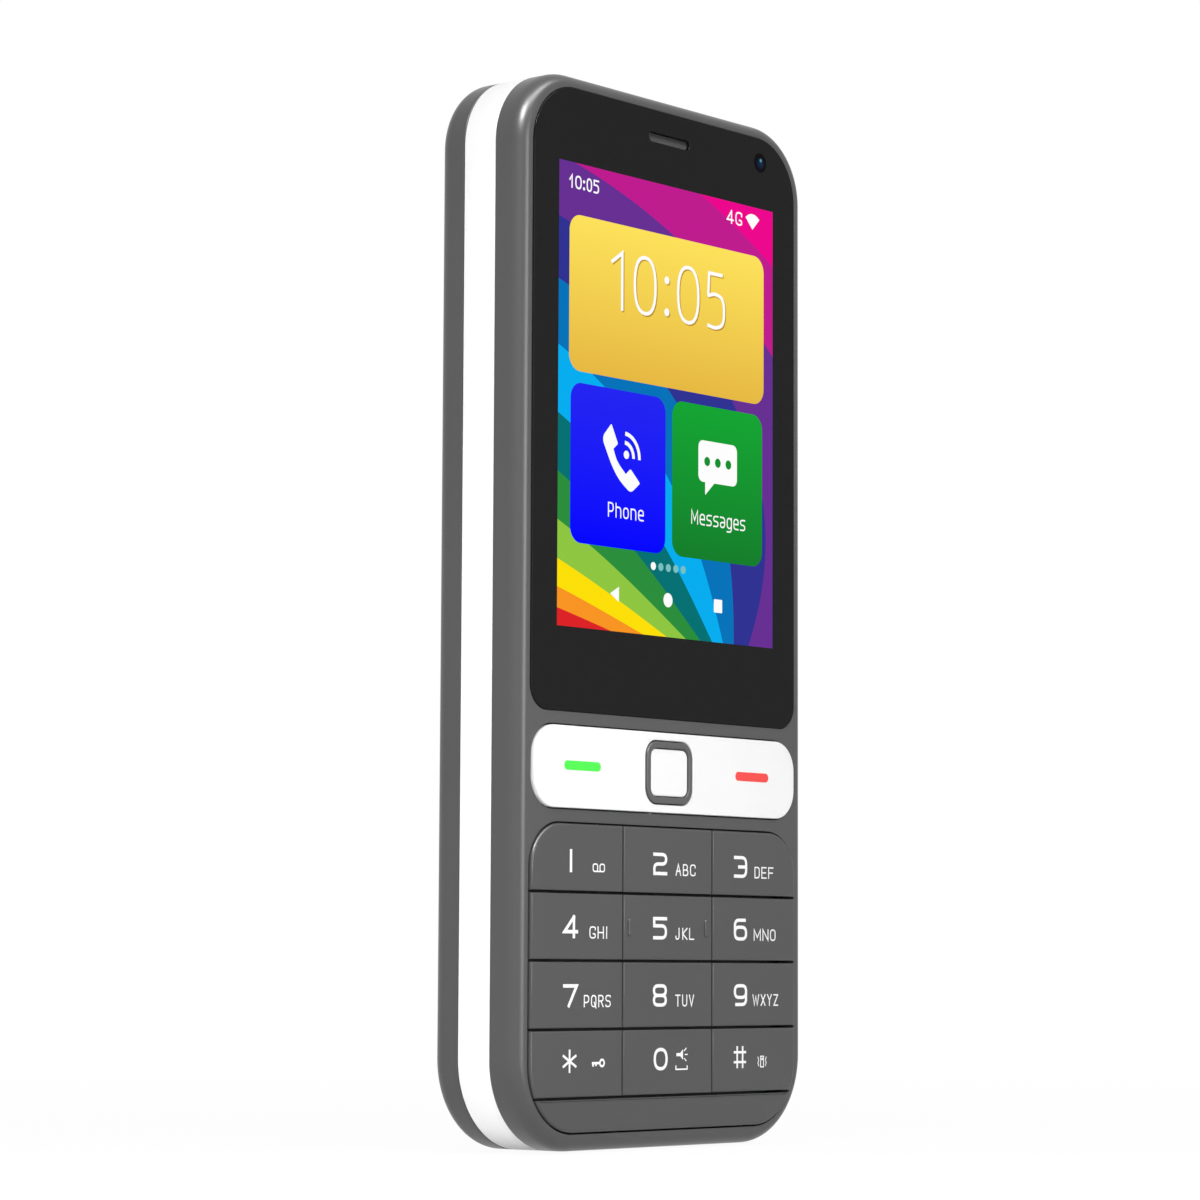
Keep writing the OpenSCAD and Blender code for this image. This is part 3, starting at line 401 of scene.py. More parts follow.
def rounded_path(corners: Points, r: float | Points, closed: bool, steps: int = 6) -> Points:
    """Rounds the corners of a path by parabolas: (1-t)^2 a + 2 t (1-t) corner + t^2 b.

    Args:
        corners: rows of X and Z.
        r: where a corner's round starts, at most half an edge away; one, or one for each.
        closed: whether the path returns to its start.
        steps: steps of a round.

    Returns:
        Points of the smooth path.
    """
    legs = np.stack([np.roll(corners, 1, 0), np.roll(corners, -1, 0)]) - corners
    length = np.linalg.norm(legs, axis=-1, keepdims=True)
    share = np.minimum(np.broadcast_to(r, len(corners))[None, :, None] / length, 0.5)
    start, end = (share * legs + corners)[:, :, None]
    t = np.linspace(0, 1, steps + 1)[None, :, None]
    curve = (1 - t) ** 2 * start + 2 * t * (1 - t) * corners[:, None] + t**2 * end
    if closed:
        return curve.reshape(-1, 2)
    return np.concatenate([corners[:1], curve[1:-1].reshape(-1, 2), corners[-1:]])


@dataclass(frozen=True)
class Flat:
    """Flat forms between two depths, collected in one skin: plates, discs and strokes."""

    front: float
    rear: float
    skin: Skin = field(default_factory=Skin)

    def lifted(self, steps: float, sunk: float = 0) -> "Flat":
        """The same skin with its front some steps higher and its rear some lower."""
        return Flat(self.front - LIFT * steps, self.rear + LIFT * sunk, self.skin)

    def plate(self, outline: Points) -> None:
        """Adds a plate with straight walls."""
        self.skin.between(np.stack([laid(outline, self.rear), laid(outline, self.front)]))

    def disc(self, x: float, z: float, r: float, arc: int = 10) -> None:
        """Adds a round plate of radius r about a point."""
        self.plate(Panel.disc(x, z, r, arc).ring())

    def stroke(self, path: Points, width: float, closed: bool = False) -> None:
        """Adds a stroke of even width: path(u) +- normal(u) width / 2, mitred at its corners.

        Args:
            path: rows of X and Z.
            width: width of the stroke.
            closed: whether the path returns to its start.
        """
        apart = np.linalg.norm(np.diff(path, axis=0, append=path[:1]), axis=1) > CLOSE
        apart[-1] = apart[-1] or not closed
        path = path[apart]
        ahead = np.roll(path, -1, 0) - path
        if not closed:
            ahead[-1] = ahead[-2]
        ahead /= np.linalg.norm(ahead, axis=1, keepdims=True)
        behind = np.roll(ahead, 1, 0)
        if not closed:
            behind[0] = ahead[0]
        mean = ahead + behind
        normal = np.stack([-mean[:, 1], mean[:, 0]], -1)
        side = normal / np.maximum((mean**2).sum(1, keepdims=True), LEAST_MITRE) * width
        edges = ((side, self.front), (-side, self.front), (-side, self.rear), (side, self.rear))
        section = np.stack([laid(path + way, depth) for way, depth in edges], 1)
        self.skin.grid(section, round_rows=closed)
        if not closed:
            self.skin.face(section[0])
            self.skin.face(section[-1])


def cut(outline: Points, normal: Sequence[float], reach: float) -> Points:
    """Cuts a convex outline along a straight line.

    Args:
        outline: rows of X and Z, counterclockwise.
        normal: direction that points away from what is kept.
        reach: distance of the line from the origin along the normal.

    Returns:
        The part of the outline behind the line.
    """
    beyond = outline @ np.array(normal, float) - reach
    after, next_beyond = np.roll(outline, -1, 0), np.roll(beyond, -1)
    crossing = (beyond < 0) != (next_beyond < 0)
    share = beyond / np.where(crossing, beyond - next_beyond, 1)
    hit = outline + (after - outline) * share[:, None]
    both = np.stack([outline, hit], 1).reshape(-1, 2)
    kept = both[np.stack([beyond < 0, crossing], 1).reshape(-1)]
    return kept[np.linalg.norm(kept - np.roll(kept, -1, 0), axis=1) > CLOSE]


def moved_in(outline: Points, distance: Points) -> Points:
    """Moves each edge of an outline inwards; a corner goes to where its two moved edges cross.

    Args:
        outline: rows of X and Z, counterclockwise.
        distance: rows by edges, the distance of each edge in each row.

    Returns:
        Rows by corners by X and Z.
    """
    edge = np.roll(outline, -1, 0) - outline
    unit = edge / np.linalg.norm(edge, axis=1, keepdims=True)
    inward = np.stack([-unit[:, 1], unit[:, 0]], -1)
    before, d_before = np.roll(inward, 1, 0), np.roll(distance, 1, 1)
    turn = before[:, 0] * inward[:, 1] - before[:, 1] * inward[:, 0]
    flat = np.abs(turn) < CLOSE
    turn = np.where(flat, 1, turn)
    x = (d_before * inward[:, 1] - distance * before[:, 1]) / turn
    z = (before[:, 0] * distance - inward[:, 0] * d_before) / turn
    mean = before + inward
    along = (d_before + distance)[..., None] * mean / (mean**2).sum(1)[:, None]
    return outline + np.where(flat[:, None], along, np.stack([x, z], -1))


@dataclass(frozen=True)
class Lettering:
    """A hand of stroke letters: height, width of a stroke, round of the corners and gap.

    A letter's points lie on a grid of eight steps, as one sign for x and one for y, where a and b
    lie below the line. A slash parts strokes. A leading ! keeps all corners of a stroke sharp, a
    dot those of one point, and a trailing o closes the stroke.
    """

    h: float
    width: float
    bend: float
    gap: float = 0.36

    GRID: ClassVar[int] = 8
    BELOW: ClassVar[dict[str, float]] = {"a": -1, "b": -2.2}
    SHARES: ClassVar[dict[str, float]] = {"I": 0.3, "1": 0.62, "M": 1.3, "W": 1.4, "N": 1.1}
    STROKES: ClassVar[dict[str, str]] = {
        "0": "00 80 88 08 o", "1": "!05 68 60", "2": "08 88 84 04 00. 80",
        "3": "08 88 80 00 / !34 74", "4": "!68 02 82 / !60 68", "5": "88 08. 05. 85 80 00",
        "6": "00 80 85 05 o / 03 08 78", "7": "!08 88 30", "8": "04 84 88 08 o / 00 80 84 04 o",
        "9": "08 88 83 03 o / 85 80 10", "|": "!40 48", "*": "!40 48 / !02 86 / !06 82",
        "#": "!20 28 / !60 68 / !02 82 / !06 86", "A": "!00 48 80 / !13 73",
        "B": "!00 08 / 08 78 74 04 / 04 84 80 00", "C": "86 88 08 00 80 82",
        "D": "!00 08 / 08 88 80 00", "E": "!88 08 00 80 / !04 74", "F": "!88 08 00 / !04 74",
        "G": "86 88 08 00 80 83 53", "H": "!00 08 / !80 88 / !04 84", "I": "!40 48",
        "J": "68 60 00 02", "K": "!00 08 / !88 04 80", "L": "!08 00 80", "M": "!00 08 42 88 80",
        "N": "!00 08 80 88", "O": "00 80 88 08 o", "P": "!00 08 / 08 88 83 03",
        "Q": "00 80 88 08 o / !53 8a", "R": "!00 08 / 08 88 84 04 / !44 80",
        "S": "87 88 08 04 84 80 00 01", "T": "!08 88 / !48 40", "U": "08 00 80 88",
        "V": "!08 40 88", "W": "!08 20 47 60 88", "X": "!08 80 / !00 88",
        "Y": "!08 44 88 / !44 40", "Z": "!08 88 00 80", "a": "06 86 80 00 03 83",
        "e": "03 83. 86 06 00 80", "g": "00 80 86 06 o / 86 8b 0b", "h": "!00 08 / 04 06 86 80",
        "n": "!00 06 / 04 06 86 80", "o": "00 80 86 06 o", "s": "86 06 03 83 80 00",
    }

    def write(self, flat: Flat, sign: str, left: float, base: float, w: float) -> None:
        """Adds the strokes of one sign.

        Args:
            flat: takes the strokes.
            sign: the sign.
            left: its left edge.
            base: its lower edge.
            w: its width over the strokes.
        """
        room = np.array([w - self.width, self.h - self.width])
        for number, stroke in enumerate(self.STROKES[sign].split(" / ")):
            marks = stroke.strip("!").split()
            closed = marks[-1] == "o"
            marks = marks[:-1] if closed else marks
            at = np.array([[float(m[0]), float(self.BELOW.get(m[1], m[1]))] for m in marks])
            path = np.array([left, base]) + self.width / 2 + at / self.GRID * room
            if not stroke.startswith("!"):
                r = np.array([0 if m.endswith(".") else self.bend * self.h for m in marks])
                path = rounded_path(path, r, closed)
            if not closed:
                tail = path[[1, -2]] - path[[0, -1]]
                path[[0, -1]] -= tail / np.linalg.norm(tail, axis=1, keepdims=True) * self.width / 2
            flat.lifted(number, number).stroke(path, self.width, closed)

    def line(self, flat: Flat, text: str, left: float, right: float, base: float) -> None:
        """Adds a line of signs between two widths; narrow signs take less room.

        Args:
            flat: takes the strokes.
            text: the signs.
            left: left edge of the line.
            right: right edge of the line.
            base: lower edge.
        """
        shares = np.array([self.SHARES.get(sign, 1.0) for sign in text])
        widths = shares / shares.sum() * (right - left - self.gap * (len(text) - 1))
        starts = left + np.concatenate([[0], np.cumsum(widths + self.gap)[:-1]])
        for sign, start, w in zip(text, starts, widths):
            self.write(flat, sign, start, base, w)


def operation(kind: str, reflected: bool = False) -> Callable[..., "Signal"]:
    """Makes a method of Signal that adds a Math node.

    Args:
        kind: what the node works out.
        reflected: whether the other value comes first.

    Returns:
        The method, which takes the other values and gives the result.
    """
    def method(self: "Signal", *others: "Signal | float") -> "Signal":
        """Adds the Math node.

        Args:
            others: values beside this signal.

        Returns:
            The result.
        """
        values = (*others, self) if reflected else (self, *others)
        node = self.shader.node("ShaderNodeMath", dict(enumerate(values)), operation=kind)
        return Signal(self.shader, node.outputs[0])

    return method


class Signal:
    """A shader socket that takes part in Python arithmetic; each operation adds a Math node."""

    def __init__(self, shader: "Shader", socket: bpy.types.NodeSocket) -> None:
        """Wraps an output socket of a shader."""
        self.shader, self.socket = shader, socket

    __add__ = __radd__ = operation("ADD")
    __mul__ = __rmul__ = operation("MULTIPLY")
    __sub__, __rsub__ = operation("SUBTRACT"), operation("SUBTRACT", reflected=True)
    __truediv__, __pow__ = operation("DIVIDE"), operation("POWER")
    sine, log, turn_from = operation("SINE"), operation("LOGARITHM"), operation("ARCTAN2")
    at_most, at_least, above = operation("MINIMUM"), operation("MAXIMUM"), operation("GREATER_THAN")


class Shader:
    """Node tree of a material or of the world."""

    def __init__(self, tree: bpy.types.NodeTree) -> None:
        """Empties a node tree."""
        self.tree = tree
        tree.nodes.clear()

    def node(self, kind: str, sockets: dict | None = None, **settings: object) -> bpy.types.Node:
        """Adds a node.

        Args:
            kind: type of the node.
            sockets: values, signals or sockets by the name or number of the input.
            settings: its settings; stops are those of a ramp, as pairs of place and colour.

        Returns:
            The node.
        """
        node = self.tree.nodes.new(kind)
        for name, value in settings.items():
            if name == "stops":
                ramp = node.color_ramp.elements
                while len(ramp) < len(value):
                    ramp.new(1)
                for stop, (place, colour) in zip(ramp, value):
                    stop.position, stop.color = place, (*colour, 1)
            elif name == "interpolation":
                node.color_ramp.interpolation = value
            else:
                setattr(node, name, value)
        for name, value in (sockets or {}).items():
            value = value.socket if isinstance(value, Signal) else value
            if isinstance(value, bpy.types.NodeSocket):
                self.tree.links.new(value, node.inputs[name])
            else:
                node.inputs[name].default_value = value
        return node

    def principled(self, sockets: dict) -> None:
        """Makes the surface of a material, with its output."""
        surface = self.node("ShaderNodeBsdfPrincipled", sockets)
        self.node("ShaderNodeOutputMaterial", {"Surface": surface.outputs[0]})

    def lit(self, colour: bpy.types.NodeSocket, rough: Signal) -> None:
        """Makes a dark surface that gives off light of a colour."""
        self.principled({"Base Color": (0, 0, 0, 1), "Emission Color": colour,
                         "Emission Strength": 1.0, "Roughness": rough, "Specular IOR Level": 0.01})

    def mixed(self, share: Signal, surfaces: Sequence[bpy.types.Node], output: str) -> None:
        """Mixes two surfaces and links them to an output.

        Args:
            share: share of the second surface.
            surfaces: nodes of both surfaces.
            output: type of the output.
        """
        ends = {number: node.outputs[0] for number, node in enumerate(surfaces, 1)}
        mix = self.node("ShaderNodeMixShader", {0: share, **ends})
        self.node(output, {"Surface": mix.outputs[0]})

    def place(self) -> bpy.types.NodeSocket:
        """Object coordinates, in metres."""
        return self.node("ShaderNodeTexCoord").outputs["Object"]

    def axes(self) -> list[Signal]:
        """Object coordinates as three values in millimetres."""
        parts = self.node("ShaderNodeSeparateXYZ", {0: self.place()}).outputs
        return [Signal(self, part) * 1000 for part in parts]

    def noise(self, scale: float, detail: float = 2, stretch: Sequence = (1, 1, 1)) -> Signal:
        """Soft noise from 0 to 1.

        Args:
            scale: waves in a metre.
            detail: octaves.
            stretch: factor of the scale along each axis.

        Returns:
            The noise.
        """
        place = self.node("ShaderNodeMapping", {"Vector": self.place(), "Scale": stretch})
        sockets = {"Vector": place.outputs[0], "Scale": scale, "Detail": detail}
        return Signal(self, self.node("ShaderNodeTexNoise", sockets).outputs[0])

    def blend(self, share: Signal, low: "Colour | Signal", high: Colour) -> Signal:
        """Mixes two colours.

        Args:
            share: share of the second colour.
            low: first colour.
            high: second colour.

        Returns:
            The mixed colour.
        """
        low = (*low, 1) if isinstance(low, tuple) else low
        sockets = {"Factor": share, 6: low, 7: (*high, 1)}
        return Signal(self, self.node("ShaderNodeMix", sockets, data_type="RGBA").outputs[2])

    def tinted(self, share: Signal, colour: Colour, low: float, high: float) -> Signal:
        """Mixes two tones of one colour, given by their factors."""
        return self.blend(share, shade(colour, low), shade(colour, high))

    def bump(self, height: Signal, distance: float) -> Signal:
        """Normal of a small relief of a depth in millimetres."""
        sockets = {"Height": height, "Distance": distance * MM, "Strength": 1}
        return Signal(self, self.node("ShaderNodeBump", sockets).outputs[0])


@dataclass(frozen=True)
class Finish:
    """A surface finish; each kind paints its own nodes."""

    name: str
    made: ClassVar[dict[str, bpy.types.Material]] = {}

    def paint(self, shader: Shader) -> None:
        """Lays the nodes of the finish."""
        raise NotImplementedError

    def material(self) -> bpy.types.Material:
        """Makes the material of this finish once.

        Returns:
            The material.
        """
        if self.name not in self.made:
            material = bpy.data.materials.new(self.name)
            material.use_nodes = True
            self.paint(Shader(material.node_tree))
            self.made[self.name] = material
        return self.made[self.name]


@dataclass(frozen=True)
class Moulded(Finish):
    """Moulded plastic: fine grain, faint cloudiness, and gloss that varies a little."""

    colour: Colour
    rough: float
    rough_spread: float = 0.06
    cloud: float = 0.05
    cloud_scale: float = 60
    grain: float = 9000
    relief: float = 0.004
    specular: float = 0.5

    def paint(self, shader: Shader) -> None:
        """Clouds tint the colour, two noises set the gloss, and grain makes the relief.

        Args:
            shader: node tree of the material.
        """
        cloud = shader.noise(self.cloud_scale, detail=3)
        fine = shader.noise(self.grain)
        shader.principled({
            "Base Color": shader.tinted(cloud, self.colour, 1 - self.cloud, 1 + self.cloud),
            "Roughness": self.rough + (fine * 0.5 + cloud * 0.5 - 0.5) * (2 * self.rough_spread),
            "Normal": shader.bump(fine, self.relief),
            "Specular IOR Level": self.specular,
        })


@dataclass(frozen=True)
class BlackGlass(Finish):
    """Cover glass printed black on its rear: very smooth, with faint smears in its gloss."""

    colour: Colour = grey(0.013)
    rough: float = 0.06
    rough_spread: float = 0.05
    specular: float = 0.035
    smear_stretch: tuple[float, float, float] = (1, 1, 0.35)

    def paint(self, shader: Shader) -> None:
        """Wide soft smears change the gloss, and the black print is a little uneven.

        Args:
            shader: node tree of the material.
        """
        smear = shader.noise(scale=45, detail=4, stretch=self.smear_stretch)
        shader.principled({
            "Base Color": shader.tinted(shader.noise(scale=700), self.colour, 0.95, 1.05),
            "Roughness": self.rough + smear * self.rough_spread,
            "Specular IOR Level": self.specular,
        })


@dataclass(frozen=True)
class Lit(Finish):
    """A lit area of the picture, shaded evenly from its lower to its upper end."""

    low_colour: Colour
    high_colour: Colour
    low: float
    high: float
    line_pitch: float = 0.18
    line_depth: float = 0.01

    def paint(self, shader: Shader) -> None:
        """The colour runs with the height, and fine picture lines darken it a very little.

        Args:
            shader: node tree of the material.
        """
        _, _, z = shader.axes()
        share = ((z - self.low) / (self.high - self.low)).at_least(0).at_most(1)
        lines = 1 - (z * (2 * math.pi / self.line_pitch)).sine() * self.line_depth
        colour = shader.blend(share, self.low_colour, self.high_colour)
        tone = shader.node("ShaderNodeVectorMath", {0: colour, "Scale": lines}, operation="SCALE")
        shader.lit(tone.outputs[0], 0.12 + shader.noise(scale=200) * 0.05)


@dataclass(frozen=True)
class RainbowPicture(Finish):
    """Plain rainbow ground of the display: bands that fan out from a point and curl outwards."""

    hues: tuple[Colour, ...]
    x: float = 13.25
    z: float = 58.1
    first: float = 8.94
    by_angle: float = 3.44
    by_reach: float = 3.05
    reach: float = 60.0
    squeeze: float = 0.63
    curl: float = 2.16
    by_side: float = 0.015

    def paint(self, shader: Shader) -> None:
        """The band's number is a sum of three parts that grow outwards.

        They are the logarithm of the angle about the point, a power of the distance from it with
        the width squeezed, and a small share of the way to the right.

        Args:
            shader: node tree of the material.
        """
        x, _, z = shader.axes()
        across, up = self.x - x, z - self.z
        angle = up.turn_from(across) * (180 / math.pi)
        narrow = across * self.squeeze
        reach = (narrow * narrow + up * up) ** 0.5
        turn = (angle / self.first).log(math.e) * self.by_angle
        band = turn + (reach / self.reach) ** self.curl * self.by_reach - across * self.by_side
        count = len(self.hues)
        stops = [(number / count, hue) for number, hue in enumerate(self.hues)]
        ramp = shader.node("ShaderNodeValToRGB", {0: band / count},
                           interpolation="CONSTANT", stops=stops)
        shader.lit(ramp.outputs[0], 0.08 + shader.noise(scale=45, detail=4) * 0.05)


@dataclass(frozen=True)
class Metal(Finish):
    """Sheet or turned metal with fine drawn lines."""

    colour: Colour
    rough: float
    rough_spread: float = 0.22
    stretch: tuple[float, float, float] = (1, 1, 12)
    relief: float = 0.003

    def paint(self, shader: Shader) -> None:
        """Noise stretched along the drawing direction sets the gloss, and clouds set the tone.

        Args:
            shader: node tree of the material.
        """
        drawn = shader.noise(scale=900, detail=3, stretch=self.stretch)
        shader.principled({
            "Base Color": shader.tinted(shader.noise(scale=90, detail=3), self.colour, 0.86, 1.08),
            "Metallic": 1.0,
            "Roughness": self.rough + (drawn - 0.5) * self.rough_spread,
            "Normal": shader.bump(drawn, self.relief),
        })


@dataclass(frozen=True)
class CircuitBoard(Finish):
    """Board with solder mask over copper tracks."""

    mask: Colour = (0.01, 0.09, 0.035)
    track: Colour = (0.03, 0.2, 0.08)
    cells: float = 420
    bends: float = 60
    bare: float = 0.35
    relief: float = 0.02

    def paint(self, shader: Shader) -> None:
        """Tracks run round the centres of square cells, where a sine of the distance is high.

        Args:
            shader: node tree of the material.
        """
        cells = shader.node("ShaderNodeTexVoronoi", {"Vector": shader.place(), "Scale": self.cells},
                            distance="CHEBYCHEV")
        tracks = (Signal(shader, cells.outputs["Distance"]) * self.bends).sine().above(self.bare)
        shader.principled({
            "Base Color": shader.blend(tracks, self.mask, self.track),
            "Roughness": 0.28 + shader.noise(scale=800) * 0.12,
            "Normal": shader.bump(tracks, self.relief),
        })


@dataclass(frozen=True)
class Woven(Finish):
    """Fine acoustic cloth or mesh."""

    colour: Colour
    pitch: float = 0.35
    relief: float = 0.08

    def paint(self, shader: Shader) -> None:
        """Two sets of threads: sine waves across the width and the height.

        Args:
            shader: node tree of the material.
        """
        x, _, z = shader.axes()
        turn = 2 * math.pi / self.pitch
        threads = ((x * turn).sine() * (z * turn).sine()) * 0.5 + 0.5
        shader.principled({
            "Base Color": shader.tinted(threads, self.colour, 0.4, 1.9),
            "Roughness": 0.75 + shader.noise(scale=500) * 0.1,
            "Normal": shader.bump(threads, self.relief),
        })


@dataclass(frozen=True)
class Clear(Finish):
    """Clear moulded plastic with a tint."""

    colour: Colour = (0.95, 0.97, 1.0)
    rough: float = 0.08
    rough_spread: float = 0.06
    transmission: float = 1.0

    def paint(self, shader: Shader) -> None:
        """Even tint with faint flow lines in its gloss.

        Args:
            shader: node tree of the material.
        """
        flow = shader.noise(scale=240, detail=3)
        shader.principled({
            "Base Color": shader.tinted(flow, self.colour, 0.96, 1),
            "Transmission Weight": self.transmission,
            "Roughness": self.rough + flow * self.rough_spread,
            "IOR": 1.5,
        })


@dataclass(frozen=True)
class Lens(Finish):
    """Coated lens: dark, with a blue heart and a painted teal highlight near its upper side."""

    x: float
    z: float
    r: float
    dark: Colour = (0.002, 0.002, 0.003)
    blue: Colour = srgb(20, 40, 72)
    teal_highlight: Colour = srgb(92, 180, 190)

    def paint(self, shader: Shader) -> None:
        """Two round spots about points of the lens, blended by distance: the blue heart and the
        painted teal highlight.

        Args:
            shader: node tree of the material.
        """
        x, _, z = shader.axes()

        def glow(dx: float, dz: float, reach: float) -> Signal:
            """One at a point, falling to zero at a distance."""
            square = (x - self.x - dx * self.r) ** 2 + (z - self.z - dz * self.r) ** 2
            return (1 - square / (reach * self.r) ** 2).at_least(0)

        deep = shader.blend(glow(0, -0.05, 0.66), self.dark, self.blue)
        shader.principled({
            # the teal spot near the upper side is a painted highlight in the base colour
            "Base Color": shader.blend(glow(0.04, 0.24, 0.22), deep, self.teal_highlight),
            "Roughness": 0.05 + shader.noise(scale=900) * 0.03,
            "Specular IOR Level": 0.02,
        })


class Plastics:
    """The finishes that several sub-assemblies share."""

    SHELL = Moulded("shell_grey", grey(0.081), rough=0.33, specular=0.25)
    KEY = Moulded("key_grey", grey(0.063), rough=0.33, specular=0.35)
    WHITE = Moulded("band_white", grey(0.95), rough=0.35, cloud=0.012, specular=0.3)
    BAR = Moulded("bar_white", grey(0.93), rough=0.38, cloud=0.012, specular=0.3)
    RING = Moulded("ring_grey", grey(0.098), rough=0.35, specular=0.25)
    BLACK = Moulded("inner_black", (0.02, 0.02, 0.021), rough=0.45)
    LEGEND = Moulded("legend_white", grey(0.93), rough=0.5, cloud=0.02, relief=0.002)
    GREEN = Moulded("mark_green", srgb(84, 253, 84), rough=0.4, cloud=0.02, specular=0.05)
    RED = Moulded("mark_red", srgb(251, 84, 82), rough=0.4, cloud=0.02, specular=0.05)


@dataclass
class Assembly:
    """A sub-assembly: makes its pieces and hands them to their bodies."""

    pieces: list[str] = field(default_factory=list, init=False)

    def add(self, mesh: bpy.types.Mesh, finish: Finish, body: str, slot: str, *nodes: str) -> None:
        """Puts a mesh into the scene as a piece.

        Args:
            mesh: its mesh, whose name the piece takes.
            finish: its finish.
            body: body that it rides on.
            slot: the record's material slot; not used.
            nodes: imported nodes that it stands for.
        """
        piece = bpy.data.objects.new(mesh.name, mesh)
        bpy.context.scene.collection.objects.link(piece)
        mesh.materials.clear()
        mesh.materials.append(finish.material())
        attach(piece, body)
        for node in nodes:
            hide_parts(node)
        self.pieces.append(piece.name)
        LOG.info("%s: %d faces on %s", piece.name, len(mesh.polygons), body)

    def build(self) -> None:
        """Makes all pieces of the sub-assembly."""
        raise NotImplementedError


SIDE_RIM = 2.3
BAR_SIDE = 0.2
BAR_GAP = 1.9
BODY = Panel.of_node("front_housing", r_top=9.5, r_low=11.2, arc=28)
GLASS = Panel.of_node("glass_panel", r_top=7.8, r_low=3.0, arc=24, side=0.15)
RING = Panel.of_node("nav_ring", r_top=1.95, r_low=1.95, arc=14)
NAV_Z = (RING.low + RING.high) / 2
BAR = Panel.about(x=0, z=NAV_Z, w=np.ptp(cad_box("call_bar")[:, 0]) + 2 * BAR_SIDE, h=10,
                  r=3.8, arc=16)
KEYPAD = Panel(x=0, low=cad_box("chin_plate")[0][2], high=BAR.low - BAR_GAP,
               w=BODY.w - 2 * SIDE_RIM, r_top=5.4, r_low=8.2, arc=24)


@dataclass
class FrontShell(Assembly):
    """Front housing: a shell with a rounded edge, a glass pocket and openings for bar and keys."""

    edge_w: float = 1.6
    edge_d: float = 2.05
    crown: float = 0.2
    wall: float = 1.3
    face: float = 2.0
    depth: float = 4.05
    pocket: float = 0.93
    seam_r: float = 0.1
    lip_r: float = 0.05
    fit: float = 0.2
    glass_fit: float = 0.05

    def build(self) -> None:
        """Sweeps the section round the body and its openings, and fills the faces between."""
        skin = Skin()
        outer = BODY.sweep(np.concatenate([
            [[self.wall, self.face], [self.wall, self.depth]],
            rounded(self.seam_r, self.depth, 4, rear=True)[::-1],
            quarter(1, 18) * [self.edge_w, self.edge_d] - [0, self.crown],
            [[self.edge_w + SUPPORT, -self.crown]],
        ]))
        mouth = rounded(self.lip_r, -self.crown, 4, hole=True)[::-1]
        through = np.concatenate([mouth, [[0, self.face]]])
        walls = [panel.grow(self.fit).sweep(through) for panel in (BAR, KEYPAD)]
        floor = GLASS.grow(self.glass_fit).sweep(np.concatenate([mouth, [[0, self.pocket]]]))
        window = Panel.of_node("lcd_panel", r_top=0, r_low=0, arc=8).grow(self.fit)
        window = window.sweep([[0, self.pocket], [0, self.face]])
        for wall in (outer, *walls, floor, window):
            skin.grid(wall)
        skin.face(outer[-1], floor[0], *[wall[0] for wall in walls])
        skin.face(floor[-1], window[0])
        skin.face(outer[0], window[-1], *[wall[-1] for wall in walls])
        self.add(skin.mesh("front_shell"), Plastics.SHELL, "chassis", "dark_plastic",
                 "front_housing")


